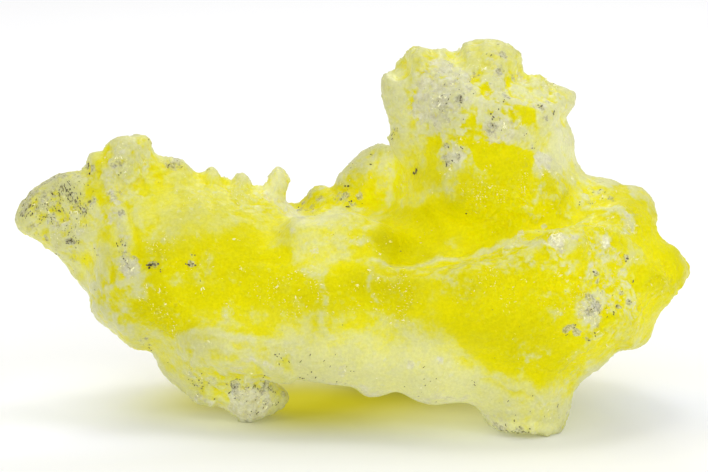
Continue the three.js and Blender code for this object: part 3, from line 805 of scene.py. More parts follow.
# Patches drawn as seen from the front: value, width of the soft edge (mm), corners across and up
patches = {
    "depth": [
        (0.2, 2.0, [(-41, 20), (-37, 20.5), (-35.8, 16), (-36.5, 10), (-42, 10)]),
        (0.5, 3.5, [(-31.5, 35), (-24, 36), (-16, 33), (-12, 31.5), (-12.5, 28.8), (-17.8, 26.6),
            (-21, 25.6),
                     (-26, 25), (-31.5, 26)]),
        (0.62, 2.0, [(-31.5, 35), (-28.6, 35.4), (-27.8, 33), (-29.4, 31), (-31.7, 32)]),
        (0.88, 4.0, [(-23.4, 24.2), (-20.4, 25.2), (-17.8, 26), (-13.8, 28.2), (-10.6, 27.4), (-9.6, 22.6),
                     (-6, 18.8), (-2.5, 19.8), (-1, 17), (-3, 15), (-9, 14.4), (-15, 13.8), (-21, 14.4),
                     (-25.6, 16.4), (-24.6, 18.4), (-20.6, 19), (-20.2, 22.2)]),
        (0.74, 2.6, [(-32, 22), (-27, 21.6), (-25, 20), (-24.6, 16.2), (-30, 15.4), (-32.4, 18)]),
        (0.6, 1.4, [(-24.4, 22.6), (-21.6, 23), (-20.2, 21.4), (-20.6, 18.6), (-23, 17.8), (-24.8, 20)]),
        (0.36, 2.0, [(-36.8, 19.8), (-32.6, 20.2), (-30.2, 18.6), (-30.4, 16.4), (-34, 15.6), (-37, 16.6)]),
        (0.82, 2.4, [(-35.2, 15.8), (-30, 15.6), (-24, 14.8), (-24, 12.6), (-29, 12.4), (-34.6, 13)]),
        (0.97, 2.5, [(17.5, 15), (24, 15.5), (29.5, 13), (30.5, 9.5), (27, 6.5), (21, 5.5), (17, 9)]),
        (0.14, 13.0, [(-16, 10.6), (-6, 11), (1, 10.6), (6, 9.8), (11, 9), (14, 7.6), (12, -12),
            (-16, -12)]),
        (0.14, 6.0, [(8, 10.4), (11, 9.4), (15, 7.2), (19, 4.4), (22.4, 2.4), (26, -10), (8, -10)]),
        (0.36, 1.6, [(-27, 12), (-20, 11.6), (-13, 10.4), (-9, 5), (-9.5, 1), (-20, -3), (-27, 4)]),
        (0.75, 0.8, [(-15.7, 11.6), (-13.6, 12.4), (-12.6, 11.4), (-12.8, 10.2), (-14.6, 9.9)]),
        (0.5, 0.9, [(-21.3, 8.3), (-19, 8.2), (-17, 7.2), (-18.4, 6.8), (-21, 7.2)]),
        (0.45, 0.6, [(-17.2, 4.4), (-15, 4.9), (-13, 5.4), (-12.8, 4.6), (-15, 3.9)]),
        (0.45, 0.8, [(-12.2, 6.4), (-10.8, 5), (-9.2, 3.6), (-9.6, 0.6), (-11.2, 1.4), (-11.4, 4)]),
        (0.46, 3.2, [(-8.9, 28.1), (-9.2, 24.9), (-8.8, 22.2), (-7.8, 20.4), (-6, 19.5), (-4.8, 20.1),
            (-3.4, 20.8),
                     (-2, 22.4), (0.9, 21.6), (2.4, 21), (2.8, 24), (3.4, 26.4), (4.4, 28.6), (1, 29.9),
                     (-2.2, 29.7), (-5.3, 28.5)]),
        (0.14, 1.6, [(-8.6, 28.4), (-5.3, 28.8), (-2.2, 30), (1, 30), (2, 28.8), (-1, 28.4), (-5, 27.2),
                     (-8.6, 27)]),
        (0.66, 1.6, [(-4.8, 26.4), (-3, 26.4), (-2.8, 25), (-4.6, 24.9)]),
        (0.36, 1.5, [(-1, 25.5), (1, 25.4), (2.6, 23.4), (2.4, 21.4), (0, 22.4), (-1.6, 23.6)]),
        (0.9, 2.4, [(-3.6, 20.4), (-1.8, 21.6), (1, 20.8), (2.2, 18), (3.4, 15.4), (1, 14.4), (-2.4, 15),
                     (-4, 17)]),
        (1.0, 2.2, [(3.4, 24.4), (4.4, 28.4), (8, 30), (14, 30.8), (17, 29.6), (15.4, 27.4), (12.6, 25.6),
                    (11.6, 22.4), (8.4, 21.4), (5.4, 21.7)]),
        (0.55, 1.8, [(13.6, 26.8), (17, 28), (19, 26.6), (18.4, 24.2), (14.6, 23.2), (12.4, 23.6)]),
        (1.0, 0.35, [(17.2, 39.4), (19, 40.7), (20.6, 41.1), (21.6, 40.3), (22, 39.2), (24.8, 39),
            (26.7, 37.8),
                     (26.4, 36.2), (25, 34.6), (21, 34.6), (18, 36)]),
        (0.7, 1.6, [(10.2, 40.3), (12.2, 40.6), (12.6, 38), (13.8, 36), (13.2, 34), (11, 34.6), (10.2, 37)]),
        (0.72, 1.2, [(13.6, 43.6), (16, 44), (18.4, 43.2), (18.2, 40.6), (15.6, 39.9), (13.9, 41)]),
        (0.9, 0.8, [(18.3, 48.2), (19.5, 48.6), (20, 47.6), (19.7, 46.5), (18.4, 46.6)]),
        (0.88, 0.9, [(23.4, 45.6), (24.9, 45.4), (26.3, 44.6), (26.2, 42.6), (25.4, 41.8), (24.4, 42.6),
                    (23.6, 44.2)]),
        (0.55, 0.8, [(22, 50.4), (23.2, 51.1), (24.4, 50.4), (24, 49.3), (22.6, 49.2)]),
        (0.5, 1.2, [(15, 52.2), (16, 54.6), (19, 55.4), (21, 54), (20.4, 51.8), (18, 51)]),
        (0.55, 0.8, [(16.1, 52.7), (17.3, 52.8), (17.5, 51.7), (16.4, 51.6)]),
        (0.45, 1.0, [(7, 54), (9, 54.6), (12, 53.6), (12.4, 51.8), (9, 50.8), (7, 52)]),
        (0.5, 2.0, [(-38.6, 20), (-35, 20), (-33, 11), (-37, 11.5), (-39.6, 15)]),
        (0.4, 3.5, [(-35, 12), (-28, 11), (-22, 8), (-20, 1), (-27, 4), (-32, 8)]),
        (0.42, 3.0, [(-46, 25), (-41, 27), (-39, 22), (-37, 16), (-41, 19)]),
        (0.4, 1.2, [(-36.4, 28), (-33.4, 27.6), (-32.4, 24), (-32.2, 20.6), (-34.8, 20), (-35.8, 23)]),
        (0.8, 1.4, [(-32.2, 24.6), (-30, 24.4), (-28.4, 21.6), (-29, 19.6), (-32, 20.2)]),
        (0.55, 2.6, [(-14.5, 29), (-9.6, 29), (-9.4, 24.4), (-11.5, 23.6), (-14, 25.2)]),
        (0.55, 2.4, [(-27, 14), (-18, 14.2), (-10, 14.8), (-3, 14.4), (4, 14.2), (8, 13.4), (8, 11.4),
            (-3, 11.4),
                     (-12, 11.2), (-26, 11.8)]),
        (0.55, 1.6, [(-2, 29), (2, 29.6), (3.4, 27), (2.6, 23), (0, 22.6), (-2, 25)]),
        (0.34, 1.8, [(14.6, 52), (16, 55), (20, 56), (24, 54), (25, 50.6), (21, 49.6), (17, 50.4)]),
        (0.42, 1.2, [(13.6, 43.8), (16, 44), (17.4, 42.4), (17.4, 40.8), (15.6, 40.4), (13.9, 41)]),
        (0.66, 1.8, [(5.6, 36), (9.6, 36.4), (12, 33.8), (15, 33), (16, 31), (9, 30.6), (5.6, 31.4)]),
        (0.94, 1.6, [(12, 28.6), (17, 29.6), (21, 28), (20.6, 25), (17.2, 24.4), (13, 23), (11, 24)]),
        (0.62, 1.4, [(12.2, 22.2), (13.6, 24.6), (16, 25.8), (16.8, 25), (15, 22.8)]),
        (0.62, 1.4, [(2.6, 21), (8, 20.6), (13, 21.2), (14, 19.4), (8, 18.8), (3, 19.2)]),
        (0.7, 2.4, [(28.6, 24), (33, 22), (33.6, 16), (30, 12.6), (28, 15)]),
        (0.72, 1.6, [(25, 9.4), (29, 9), (31, 6), (28.4, 3.4), (24, 5)]),
        (0.62, 1.8, [(14.5, 20.8), (20, 22.4), (27, 24.4), (32, 23.4), (33, 20.4), (26, 20.8), (18, 19.8)]),
        (0.85, 1.6, [(15, 20.2), (19.4, 20.4), (19, 15.6), (15.2, 15.8)]),
        (0.96, 1.4, [(43.4, 25.4), (46, 24.6), (48, 22.4), (47.4, 19.8), (45.4, 16.8), (43, 16.2),
            (42, 18.4),
                     (43, 21)]),
        (0.85, 0.9, [(37.4, 32.6), (40, 33), (41, 31.6), (39, 30.6), (37.6, 31)]),
        (0.92, 0.9, [(41.8, 31.6), (43.2, 31), (43.4, 27.2), (42, 26.4), (41.6, 29)]),
        (0.3, 1.0, [(39.6, 29.6), (41.4, 29), (41.4, 26.4), (39.6, 26.2)]),
        (0.12, 1.0, [(4.6, 49.6), (7.2, 50.6), (7.8, 45), (8.2, 41), (5.6, 41.5), (4.8, 45)]),
        (0.45, 0.6, [(8, 49.4), (9.2, 49.4), (9.2, 45), (8.2, 45.2)]),
        (0.1, 1.0, [(28.6, 43.6), (30.2, 43.2), (31.6, 40), (31.4, 35.4), (29.6, 35.6), (28.4, 39)]),
        (0.2, 1.2, [(27.5, 1), (32.5, 1.5), (33, -5), (26, -5.5)]),
        # The last two make the right end of the ledge pale where crystal faces glint: painted highlights
        (0.04, 0.5, [(28.5, 26), (31.5, 26), (31.5, 24.5), (30, 24), (28.5, 24.5)]),
        (0.04, 0.5, [(36.5, 25.5), (38, 25.5), (38, 24), (37, 23.5)]),
    ],
    "broken": [
        (0.9, 2.0, [(-40, 20), (-35, 20), (-33, 10), (-37, 10.5), (-40, 15)]),
        (0.9, 1.5, [(28, 47), (32.4, 46), (34, 36), (29, 36)]),
        (0.75, 2.0, [(33, 34.6), (41, 33.6), (45, 29), (44, 25), (38, 27), (34, 29)]),
        (0.12, 2.0, [(14.6, 51), (16, 55), (20, 56), (24, 54), (25, 50.6), (21, 49.6)]),
        (0.15, 2.0, [(-14.5, 29), (-9.6, 29), (-9.4, 24.4), (-14, 25.2)]),
        (0.6, 2.5, [(12, 21), (20, 23.5), (27, 25), (33, 24), (34, 16), (30, 14), (22, 16.5), (14, 16)]),
        (0.08, 2.0, [(17.5, 14.5), (24, 15), (28, 12.5), (27, 9), (23, 6.5), (19.5, 6.5), (17, 9)]),
        (0.75, 2.0, [(28.6, 24), (33, 22), (33.6, 16), (30, 12.6), (28, 15)]),
        (0.8, 1.6, [(25, 9.4), (29, 9), (31, 6), (28.4, 3.4), (24, 5)]),
        (0.7, 1.5, [(-37, 20), (-27, 22), (-24.6, 16), (-24, 12.6), (-35, 12.8)]),
        (0.1, 2.0, [(3.4, 24.4), (4.4, 28.4), (8, 30), (14, 30.8), (17, 29.6), (12.6, 25.6), (11.6, 22.4),
                    (5.4, 21.7)]),
    ],
    "crust": [
        (0.5, 0.8, [(-13.4, 33.4), (-10.8, 31.6), (-8, 29.6), (-7.4, 28.2), (-9.4, 28.6), (-12, 30.6),
                    (-13.8, 32.2)]),
        (0.75, 0.4, [(26.6, 37.2), (27.6, 38.6), (29.2, 38), (28.8, 35.9), (27, 36)]),
        # The next three whiten small spots at the right end of the ledge where crystal faces glint: painted
        # highlights
        (0.85, 0.6, [(28.8, 25.9), (31.2, 26), (31.4, 24.4), (30, 23.8), (28.6, 24.6)]),
        (0.85, 0.5, [(32.2, 25.9), (33.6, 25.4), (33.2, 24.4)]),
        (0.85, 0.6, [(36.4, 25.4), (37.8, 25.4), (38.2, 24), (37, 23.6)]),
        (0.8, 0.8, [(-19, 1.8), (-16, 2.6), (-12.4, 1.8), (-12, -1), (-14.4, -3.6), (-17, -3.4),
            (-18.8, -0.6)]),
        (0.5, 1.6, [(8.6, 50.6), (13, 51.6), (17, 50), (17.6, 46.4), (15, 44), (10.4, 43.4), (8.8, 46)]),
    ],
    "dust": [
        (0.45, 0.5, [(14.6, 47), (15.8, 47.4), (16.4, 46.2), (15.6, 45.4), (14.8, 45.8)]),
        (0.5, 0.6, [(-18.9, 1.9), (-18, 3), (-15.6, 3.2), (-13.8, 2.6), (-12, 2.9), (-11.6, 1.7),
            (-13.6, 1.7),
                    (-16, 2.4), (-17.6, 1.9)]),
        # The next two grey the top of the wedge; the narrow one along its upper left rim is painted shade
        # along the edge
        (0.75, 1.0, [(-50, 28.4), (-49, 31.4), (-46, 34.2), (-42.4, 36), (-42.2, 34.8), (-46, 32.8),
            (-48.4, 29.4)]),
        (0.32, 2.4, [(-48.8, 30.5), (-46.2, 33.2), (-43.4, 34.2), (-43.2, 30.4), (-44, 27.8),
            (-46.4, 27), (-48.6, 27.6)]),
    ],
    # Painted light and shade: these patches raise or lower the shade attribute, which brightens or darkens
    # the colour over whole areas, lighter where light would soak through or glint, darker where shade would
    # fall
    "shade": [
        (0.42, 4.0, [(-50, 29), (-43, 36), (-38, 36), (-40, 27), (-46, 25)]),
        (0.38, 5.0, [(-37, 23), (-30, 22.5), (-26.5, 14), (-20, 9.5), (-23, 7), (-30, 7.5), (-41, 16)]),
        (0.42, 5.0, [(-31, 41), (-36, 40.5), (-38, 33), (-33, 27), (-28, 34)]),
        (0.36, 3.0, [(-23, 24.6), (-14, 25.6), (-13, 20), (-22, 19)]),
        (0.46, 3.0, [(20, 13.4), (28, 13), (30, 8), (26, 4.6), (20, 6.4)]),
        (0.62, 2.4, [(-9, 28.6), (-9, 22), (-6, 20), (0, 21), (3, 24), (1, 28.4)]),
        (0.44, 6.0, [(-28, 36), (-20, 36), (-12, 32), (-14, 20), (-20, 18), (-27, 26)]),
        (0.7, 3.0, [(-22, 2.4), (-16, 2.8), (-10, 3), (-10, -1), (-16, -3.4), (-22, -1)]),
        (0.68, 4.0, [(-3, 3.4), (3, 2.8), (9, 3.4), (15, 3), (20.5, 0.5), (19.5, -4), (10, -1), (0, 0)]),
        (0.6, 4.0, [(1, 9.5), (8, 9), (16, 8.6), (18, 4), (14, 3), (3, 4.4)]),
        (0.82, 4.0, [(-2, 30.8), (1, 34.6), (4.4, 38.6), (7.4, 38), (8.6, 34.5), (11, 31.2), (6, 30)]),
        (0.8, 1.6, [(-13.4, 33), (-13, 35.6), (-9.8, 36.4), (-9, 33), (-10.4, 31)]),
        (0.6, 4.0, [(-14, 33), (-9.5, 36), (-8, 31), (-5, 32.6), (-4, 30), (-12, 30.4)]),
        (0.5, 6.0, [(4, 46), (7, 54.6), (15, 56), (24, 55), (30, 50), (28, 45), (20, 43), (12, 42)]),
        (0.44, 3.0, [(10.6, 50), (15.6, 50.4), (17, 44), (15, 39.6), (11, 40)]),
        (0.24, 2.4, [(2.6, 25.4), (4.8, 26.4), (9.6, 25), (12.4, 22.2), (9, 20.6), (4.4, 21)]),
        (0.4, 3.0, [(-2, 20), (6, 19.4), (10, 19), (9, 15), (3, 16), (-2, 17)]),
        (0.56, 2.4, [(12.4, 23.4), (20, 25.4), (26, 27.6), (33, 29.4), (34, 28.2), (27, 25.8), (20, 23.8)]),
        (0.85, 1.0, [(28.6, 25.8), (31, 26), (31.6, 24.6), (30, 23.8), (28.6, 24.4)]),
        (0.85, 1.0, [(36.2, 25.4), (37.8, 25.6), (38.2, 24.2), (36.8, 23.6)]),
        (0.68, 3.0, [(12.4, 28.4), (17, 29.4), (20.6, 27.6), (20.4, 24.6), (14.6, 23.6)]),
        (0.7, 5.0, [(15, 33), (26, 34.6), (29, 30), (24, 27.4), (17, 29)]),
        (0.85, 1.4, [(20, -2.8), (31, -3.2), (31, -5.6), (20, -5.2)]),
        (0.62, 3.0, [(29, 43.6), (32, 42.4), (33, 37), (31, 36), (28.6, 39.6)]),
        (0.56, 6.0, [(30, 24), (44, 25), (47, 17), (41, 10), (34, 7), (28, 15)]),
        (0.36, 3.0, [(36, 34.6), (41, 34), (44.6, 30), (41.6, 29.6), (37.6, 32)]),
        (0.4, 2.5, [(-45, 25), (-40, 26), (-38, 21), (-40, 17.5), (-43, 21)]),
    ],
}

# Lines drawn the same way: value, width (mm), points
strokes = {
    "depth": [
        (0.55, 0.7, [(-36.5, 39.2), (-37.8, 37), (-38.3, 34.3), (-37.4, 32.1), (-36.5, 30.8), (-35.6, 28.5),
                     (-35.8, 27.2)]),
        (0.25, 0.6, [(-7.8, 20.4), (-6, 19.5), (-4.8, 20.1)]),
        (0.4, 0.5, [(-5.1, 20.8), (-5, 18.5), (-4.2, 16.3), (-4.4, 14), (-4.7, 11.7), (-4.4, 10.4),
            (-3.6, 9.7),
                    (-2.9, 9.8)]),
        (0.02, 0.4, [(7.8, 6.8), (8.6, 5.4)]),
        (0.02, 0.4, [(10.8, 5.5), (12, 6.3), (13.4, 7.2)]),
        (0.3, 0.5, [(-6.2, 24.4), (-2.2, 25.3), (0.9, 24.9)]),
        (0.42, 0.4, [(-2.2, 22.6), (0.9, 21.7), (2.7, 20.8), (2.2, 17.6), (3.1, 15.8)]),
        (0.22, 0.35, [(2.7, 22.2), (5.3, 21), (8.4, 20.8), (11.5, 21.5), (15.1, 22.2), (18.6, 22.8),
            (22, 24),
                      (25.4, 25), (28, 25.2)]),
        (0.16, 0.4, [(-24.3, 11.2), (-19.7, 10.9), (-17.1, 9.8), (-14.4, 9.5), (-12.5, 9.5)]),
        (0.16, 0.4, [(-24.3, 8.7), (-21.1, 9.3), (-18.1, 8.4), (-16, 7.1), (-14.4, 6.8), (-12.8, 5.7),
            (-9.5, 4.3),
                     (-8.2, 4.3)]),
        (0.3, 0.35, [(-19.4, 14.8), (-19.8, 13.8), (-19.2, 12.6)]),
        (0.1, 0.7, [(-13, 33), (-10.6, 31), (-8.4, 29), (-7.3, 28)]),
        (0.25, 0.6, [(4.6, 30.2), (5, 34), (4.4, 37.4), (5.6, 39.6)]),
    ],
    "crust": [
        (0.45, 0.8, [(-35.6, 36.5), (-36.2, 33.5), (-35.4, 30.6), (-34.6, 28), (-34.2, 25), (-33.4, 22),
            (-32.4, 20.2)]),
        (0.5, 0.4, [(-16.5, 7.2), (-14.4, 6.8), (-12.8, 5.7), (-11, 5)]),
        (0.45, 0.4, [(27, 24.8), (31, 25.2), (34, 25)]),
        (0.5, 1.4, [(-3, 2.6), (2, 1.6), (7, 1), (12, 0.6), (17, 0.4), (20, -2)]),
        (0.5, 1.2, [(-24, 0.8), (-20.6, -0.4), (-18.6, -2.4)]),
    ],
    "specks": [
        (1.0, 0.8, [(-42.2, 35), (-41.4, 32.4), (-40.6, 29.8)]),
        (1.0, 0.45, [(-46.4, 27.8), (-45.7, 28.8), (-44, 28.6)]),
        (1.0, 0.6, [(-44.4, 33), (-42.2, 31.8)]),
        (1.0, 0.5, [(-49.4, 28.8), (-48.8, 27.4)]),
        (0.9, 0.5, [(-43.4, 25.6), (-42, 24.6)]),
    ],
}


def within(flat, corners):
    inside = np.zeros(len(flat), dtype=bool)
    for (au, aw), (bu, bw) in zip(corners, corners[1:] + corners[:1]):
        if aw != bw:
            crossing = au + (flat[:, 1] - aw) * (bu - au) / (bw - aw)
            inside ^= ((flat[:, 1] < aw) != (flat[:, 1] < bw)) & (flat[:, 0] < crossing)
    return inside


def drawn(values, name, flat, front, adding=False):
    """Lays the drawn patches and then the lines over the values; adding ones only ever raise them"""
    covers = []
    for value, edge, corners in patches.get(name, []):
        gap = distance_to_path(flat, np.array(corners + corners[:1]))
        gap = np.where(within(flat, corners), gap, -gap)
        covers.append((value, soft(gap, -edge / 2, edge / 2)))
    for value, width, line in strokes.get(name, []):
        covers.append((value, np.exp(-(distance_to_path(flat, np.array(line)) / width) ** 2)))
    for value, cover in covers:
        if adding:
            values = np.maximum(values, value * cover * front)
        else:
            values = values + (value - values) * cover * front
    return values


def ridged(points, normals, pairs, times, scale):
    """Above 0 on ridges and knobs, below 0 in cracks and hollows"""
    mean = np.stack([evened(points[:, i], pairs, times) for i in range(3)], axis=1)
    return np.clip(np.einsum("ij,ij->i", points - mean, normals) / scale, -1, 1)


def dab_gap(u, w, radius, points, wander):
    """How far each place is from the middle of a dab; the larger the dab, the more its edge wanders"""
    strayed = points + (wander - points) * min(1, radius / WIDE_DAB)
    return np.linalg.norm(strayed - sighted(u, w)[0], axis=1)


def lay(values, rows, points, wander):
    """Dabs painted one over another, each pulling the skin toward its own value"""
    for u, w, radius, value in rows:
        cover = soft(1 - dab_gap(u, w, radius, points, wander) / (radius * 1.15), 0, 0.55)
        values = values + (value - values) * cover
    return values


def heap(rows, points, wander):
    """Dabs that only add: the strongest of them shows"""
    values = np.zeros(len(points))
    for u, w, radius, value in rows:
        cover = soft(1 - dab_gap(u, w, radius, points, wander) / (radius * 1.2), 0, 0.6)
        values = np.maximum(values, value * cover)
    return values


def spotted(areas, seed):
    """The single spots of the strewn areas"""
    rng = np.random.default_rng(seed)
    rows = []
    for u, w, reach, count, radius, value in areas:
        for across, up in spread_about(u, w, reach, count, rng):
            rows.append((across, up, radius * rng.uniform(0.85, 1.15), value * rng.uniform(0.85, 1.1)))
    return rows


def keep(name, values):
    layer = mass.data.attributes.new(name, "FLOAT", "POINT")
    layer.data.foreach_set("value", np.clip(values, 0, 1))


def paint():
    points = spots(mass)
    normals = facing(mass)
    pairs = web()
    wander = points + 1.1 * np.stack([drift(points, 3.0, s) for s in (61, 62, 63)], axis=1)
    wander += 0.5 * np.stack([drift(points, 1.2, s) for s in (64, 65, 66)], axis=1)
    x, y, z = points.T
    behind = soft(y, -2, 6)
    swell = drift(points, 9, 67) + 0.5 * drift(points, 4, 68)
    middle = soft(z, 7, 14) * (1 - soft(z, 27, 38))
    depth = 0.3 + 0.5 * middle + 0.22 * swell
    depth = np.where(x < -34, 0.35 + 0.15 * swell, depth)
    flat = seen(points + 0.5 * (wander - points))[0]
    toward = np.array(camera.location) / MM - points
    toward /= np.linalg.norm(toward, axis=1)[:, None]
    front = soft(np.einsum("ij,ij->i", normals, toward), -0.05, 0.2) * soft(-y, -11, -7)
    depth = lay(depth, dabs["depth"], points, wander)
    depth = evened(depth, pairs, 10)
    depth = drawn(depth, "depth", flat, front)
    broken = lay(np.full(len(points), 0.3), dabs["broken"], points, wander)
    broken = drawn(broken, "broken", flat, front)
    broken = broken + (0.7 - broken) * behind
    fine = ridged(points, normals, pairs, 6, 0.1)
    broad = ridged(points, normals, pairs, 30, 0.6)
    depth = depth - (0.17 * fine + 0.15 * broad) * (0.3 + 0.7 * broken)
    patchy = soft(drift(points, 6, 71) + 0.6 * drift(points, 2.2, 72), 0.25, 0.75)
    crust = heap(spotted(strewn["crust"], 68), points, wander)
    crust = np.maximum(crust, behind * patchy * 0.6 * soft(z, 20, 42))
    crust = np.maximum(crust, behind * 0.5 * soft(-z, -9, -2))
    crust = drawn(crust, "crust", flat, front, adding=True)
    dusty = soft(drift(points, 5, 73) + 0.7 * drift(points, 1.7, 74), 0.45, 0.85)
    dust = heap(spotted(strewn["dust"], 69), points, wander)
    dust = np.maximum(dust, behind * dusty * 0.62)
    dust = drawn(dust, "dust", flat, front, adding=True)
    wedge = soft(-x, 36, 40) * soft(z + 0.35 * (x + 40), 19, 25)
    dust = np.maximum(dust, 0.3 * wedge * (0.7 + 0.5 * drift(points, 3, 78)))
    specks = heap(dabs["specks"], points, wander)
    specks = np.maximum(specks, behind * soft(drift(points, 7, 75), 0.1, 0.6) * 0.7)
    specks = np.maximum(specks, 0.6 * wedge)
    specks = drawn(specks, "specks", flat, front, adding=True)
    specks = np.maximum(specks, 0.05)
    sugar = heap(dabs["sugar"], points, wander)
    sugar = np.maximum(sugar, behind * (0.35 + 0.5 * soft(drift(points, 8, 76), 0, 0.5)))
    for name in ("ledge", "saddle_lip", "curtain", "border_upper", "border_lower",
                 "white_ridge", "bowl_rim", "sheet", "scallop", "foot_top", "curl", "swirl"):
        line = np.exp(-(distance_to_path(wander, paths[name]) / 0.6) ** 2)
        depth = depth + (0.3 - depth) * line * 0.65
    white_line = np.exp(-(distance_to_path(wander, paths["white_ridge"]) / 0.8) ** 2)
    crust = np.maximum(crust, 0.45 * white_line)
    yellow_line = np.exp(-(distance_to_path(wander, paths["yellow_ridge"]) / 0.8) ** 2)
    depth = depth + (0.6 - depth) * yellow_line * 0.6
    # Low undersides near the front are painted full yellow and cleared of crust, so the paper beneath picks
    # up a yellow bounce standing in for light that comes through the stone
    under = soft(-normals[:, 2], 0.75, 0.95) * soft(z, 1.2, 3) * soft(y, -12, -6)
    depth = np.clip(depth + (1 - depth) * under, 0, 1)
    crust = crust * (1 - under)
    keep("yellow_depth", depth)
    keep("white_crust", crust)
    keep("grey_dust", dust)
    keep("dark_specks", specks)
    keep("sugar", sugar)
    keep("broken", broken)
    # Painted light and shade: the shade attribute is raised in hollows and lowered on ridges and knobs, a
    # painted glow that evens out their shading, and the drawn shade patches are laid over it
    deep = ridged(points, normals, pairs, 120, 1.5)
    shade = drawn(np.full(len(points), 0.5), "shade", flat, front)
    keep("shade", shade + 0.035 - 0.2 * broad - 0.24 * deep)
    return depth, specks, sugar


depth, specks, sugar = paint()


# Shared effects
def new_group(name, inputs, outputs):
    group = bpy.data.node_groups.new(name, "ShaderNodeTree")
    for label, kind, value in inputs:
        socket = group.interface.new_socket(label, in_out="INPUT", socket_type=kind)
        if value is not None:
            socket.default_value = value
    for label, kind in outputs:
        group.interface.new_socket(label, in_out="OUTPUT", socket_type=kind)
    return group, group.nodes.new("NodeGroupInput"), group.nodes.new("NodeGroupOutput")


def step(tree, kind, links=(), **settings):
    """A node with its settings, and its sockets given as numbers or as other nodes' outputs"""
    node = tree.nodes.new(kind)
    for name, value in settings.items():
        setattr(node, name, value)
    for socket, value in dict(links).items():
        if isinstance(value, bpy.types.NodeSocket):
            tree.links.new(value, node.inputs[socket])
        else:
            node.inputs[socket].default_value = value
    return node


def maths(tree, operation, a, b=0.0, c=0.0, clamp=False):
    return step(tree, "ShaderNodeMath", {0: a, 1: b, 2: c}, operation=operation, use_clamp=clamp).outputs[0]


def spread(tree, value, low, high, to_low=0.0, to_high=1.0):
    links = {"Value": value, "From Min": low, "From Max": high, "To Min": to_low, "To Max": to_high}
    return step(tree, "ShaderNodeMapRange", links, interpolation_type="SMOOTHSTEP").outputs[0]


def cloud(tree, vector, scale, detail=2.0, rough=0.55):
    links = {"Vector": vector, "Scale": scale, "Detail": detail, "Roughness": rough}
    return step(tree, "ShaderNodeTexNoise", links).outputs["Fac"]


def effect(tree, group, links):
    return step(tree, "ShaderNodeGroup", links, node_tree=group)


def even_cloud(tree, vector, scale, detail, rough, reach):
    """Noise stretched to fill 0 to 1 about evenly"""
    return spread(tree, cloud(tree, vector, scale, detail, rough), 0.5 - reach, 0.5 + reach)


def over(tree, amount, field, width):
    """1 where the amount stands above the field, with an edge this wide; the full amount covers all"""
    high = maths(tree, "MULTIPLY_ADD", amount, 1.0 + width, -width / 2)
    rise = maths(tree, "SUBTRACT", high, field)
    return maths(tree, "MULTIPLY_ADD", rise, 1 / width, 0.5, clamp=True)


def cells_group():
    """Tiny crystals packed together, each with its own lot of random numbers"""
    g, i, o = new_group("crystal_cells", [
        ("Vector", "NodeSocketVector", None),
        ("Scale", "NodeSocketFloat", 1900.0),
    ], [("Lot", "NodeSocketVector"), ("Distance", "NodeSocketFloat")])
    vector = i.outputs["Vector"]
    wobble = step(g, "ShaderNodeTexNoise", {"Vector": vector, "Scale": 1500.0, "Detail": 2.0})
    shifted = step(g, "ShaderNodeVectorMath", {0: wobble.outputs["Color"], 1: (0.0006, 0.0006, 0.0006)},
                   operation="MULTIPLY")
    place = step(g, "ShaderNodeVectorMath", {0: vector, 1: shifted.outputs[0]}, operation="ADD")
    cells = step(g, "ShaderNodeTexVoronoi", {
        "Vector": place.outputs[0], "Scale": i.outputs["Scale"], "Randomness": 1.0})
    g.links.new(cells.outputs["Color"], o.inputs["Lot"])
    g.links.new(cells.outputs["Distance"], o.inputs["Distance"])
    return g


def lot_of(tree, vector, scale, which):
    cells = effect(tree, crystals, {"Vector": vector, "Scale": scale})
    return step(tree, "ShaderNodeSeparateXYZ", {"Vector": cells.outputs["Lot"]}).outputs[which]


def mottle_group():
    """Breaks the painted depth of yellow into ragged veils and windows and fine curdling, and pales single
    crystal cells in the sugary parts as painted glints
    """
    g, i, o = new_group("mottle", [
        ("Vector", "NodeSocketVector", None),
        ("Depth", "NodeSocketFloat", 0.5),
        ("Sugar", "NodeSocketFloat", 0.5),
        ("Broken", "NodeSocketFloat", 0.3),
    ], [("Depth", "NodeSocketFloat")])
    vector, depth_in, sugar_in = i.outputs["Vector"], i.outputs["Depth"], i.outputs["Sugar"]
    patch = even_cloud(g, vector, 400, 5, 0.6, 0.18)
    large = lot_of(g, vector, 950, 0)
    small = lot_of(g, vector, 1900, 0)
    grains = maths(g, "MULTIPLY_ADD", large, 0.5, maths(g, "MULTIPLY", small, 0.5))
    busy = maths(g, "MULTIPLY_ADD", maths(g, "MAXIMUM", sugar_in, i.outputs["Broken"]), 0.3, 0.05)
    apart = maths(g, "SUBTRACT", grains, patch)
    field = maths(g, "MULTIPLY_ADD", apart, busy, patch)
    ragged = over(g, depth_in, field, 0.8)
    between = maths(g, "MULTIPLY", depth_in, maths(g, "SUBTRACT", 1.0, depth_in))
    room = maths(g, "MULTIPLY_ADD", between, 2.4, 0.2)
    ripple = maths(g, "MULTIPLY", maths(g, "SUBTRACT", 0.5, field), room)
    strength = maths(g, "MULTIPLY_ADD", i.outputs["Broken"], 0.45, 0.1)
    gentle = maths(g, "MULTIPLY_ADD", ripple, strength, depth_in)
    apart = maths(g, "SUBTRACT", ragged, gentle)
    value = maths(g, "MULTIPLY_ADD", apart, i.outputs["Broken"], gentle)
    glint_lot = lot_of(g, vector, 1900, 1)
    painted_glint = maths(g, "GREATER_THAN", glint_lot, maths(g, "MULTIPLY_ADD", sugar_in, -0.16, 1.0))
    value = maths(g, "MULTIPLY_ADD", painted_glint, -0.2, value, clamp=True)
    g.links.new(value, o.inputs["Depth"])
    return g


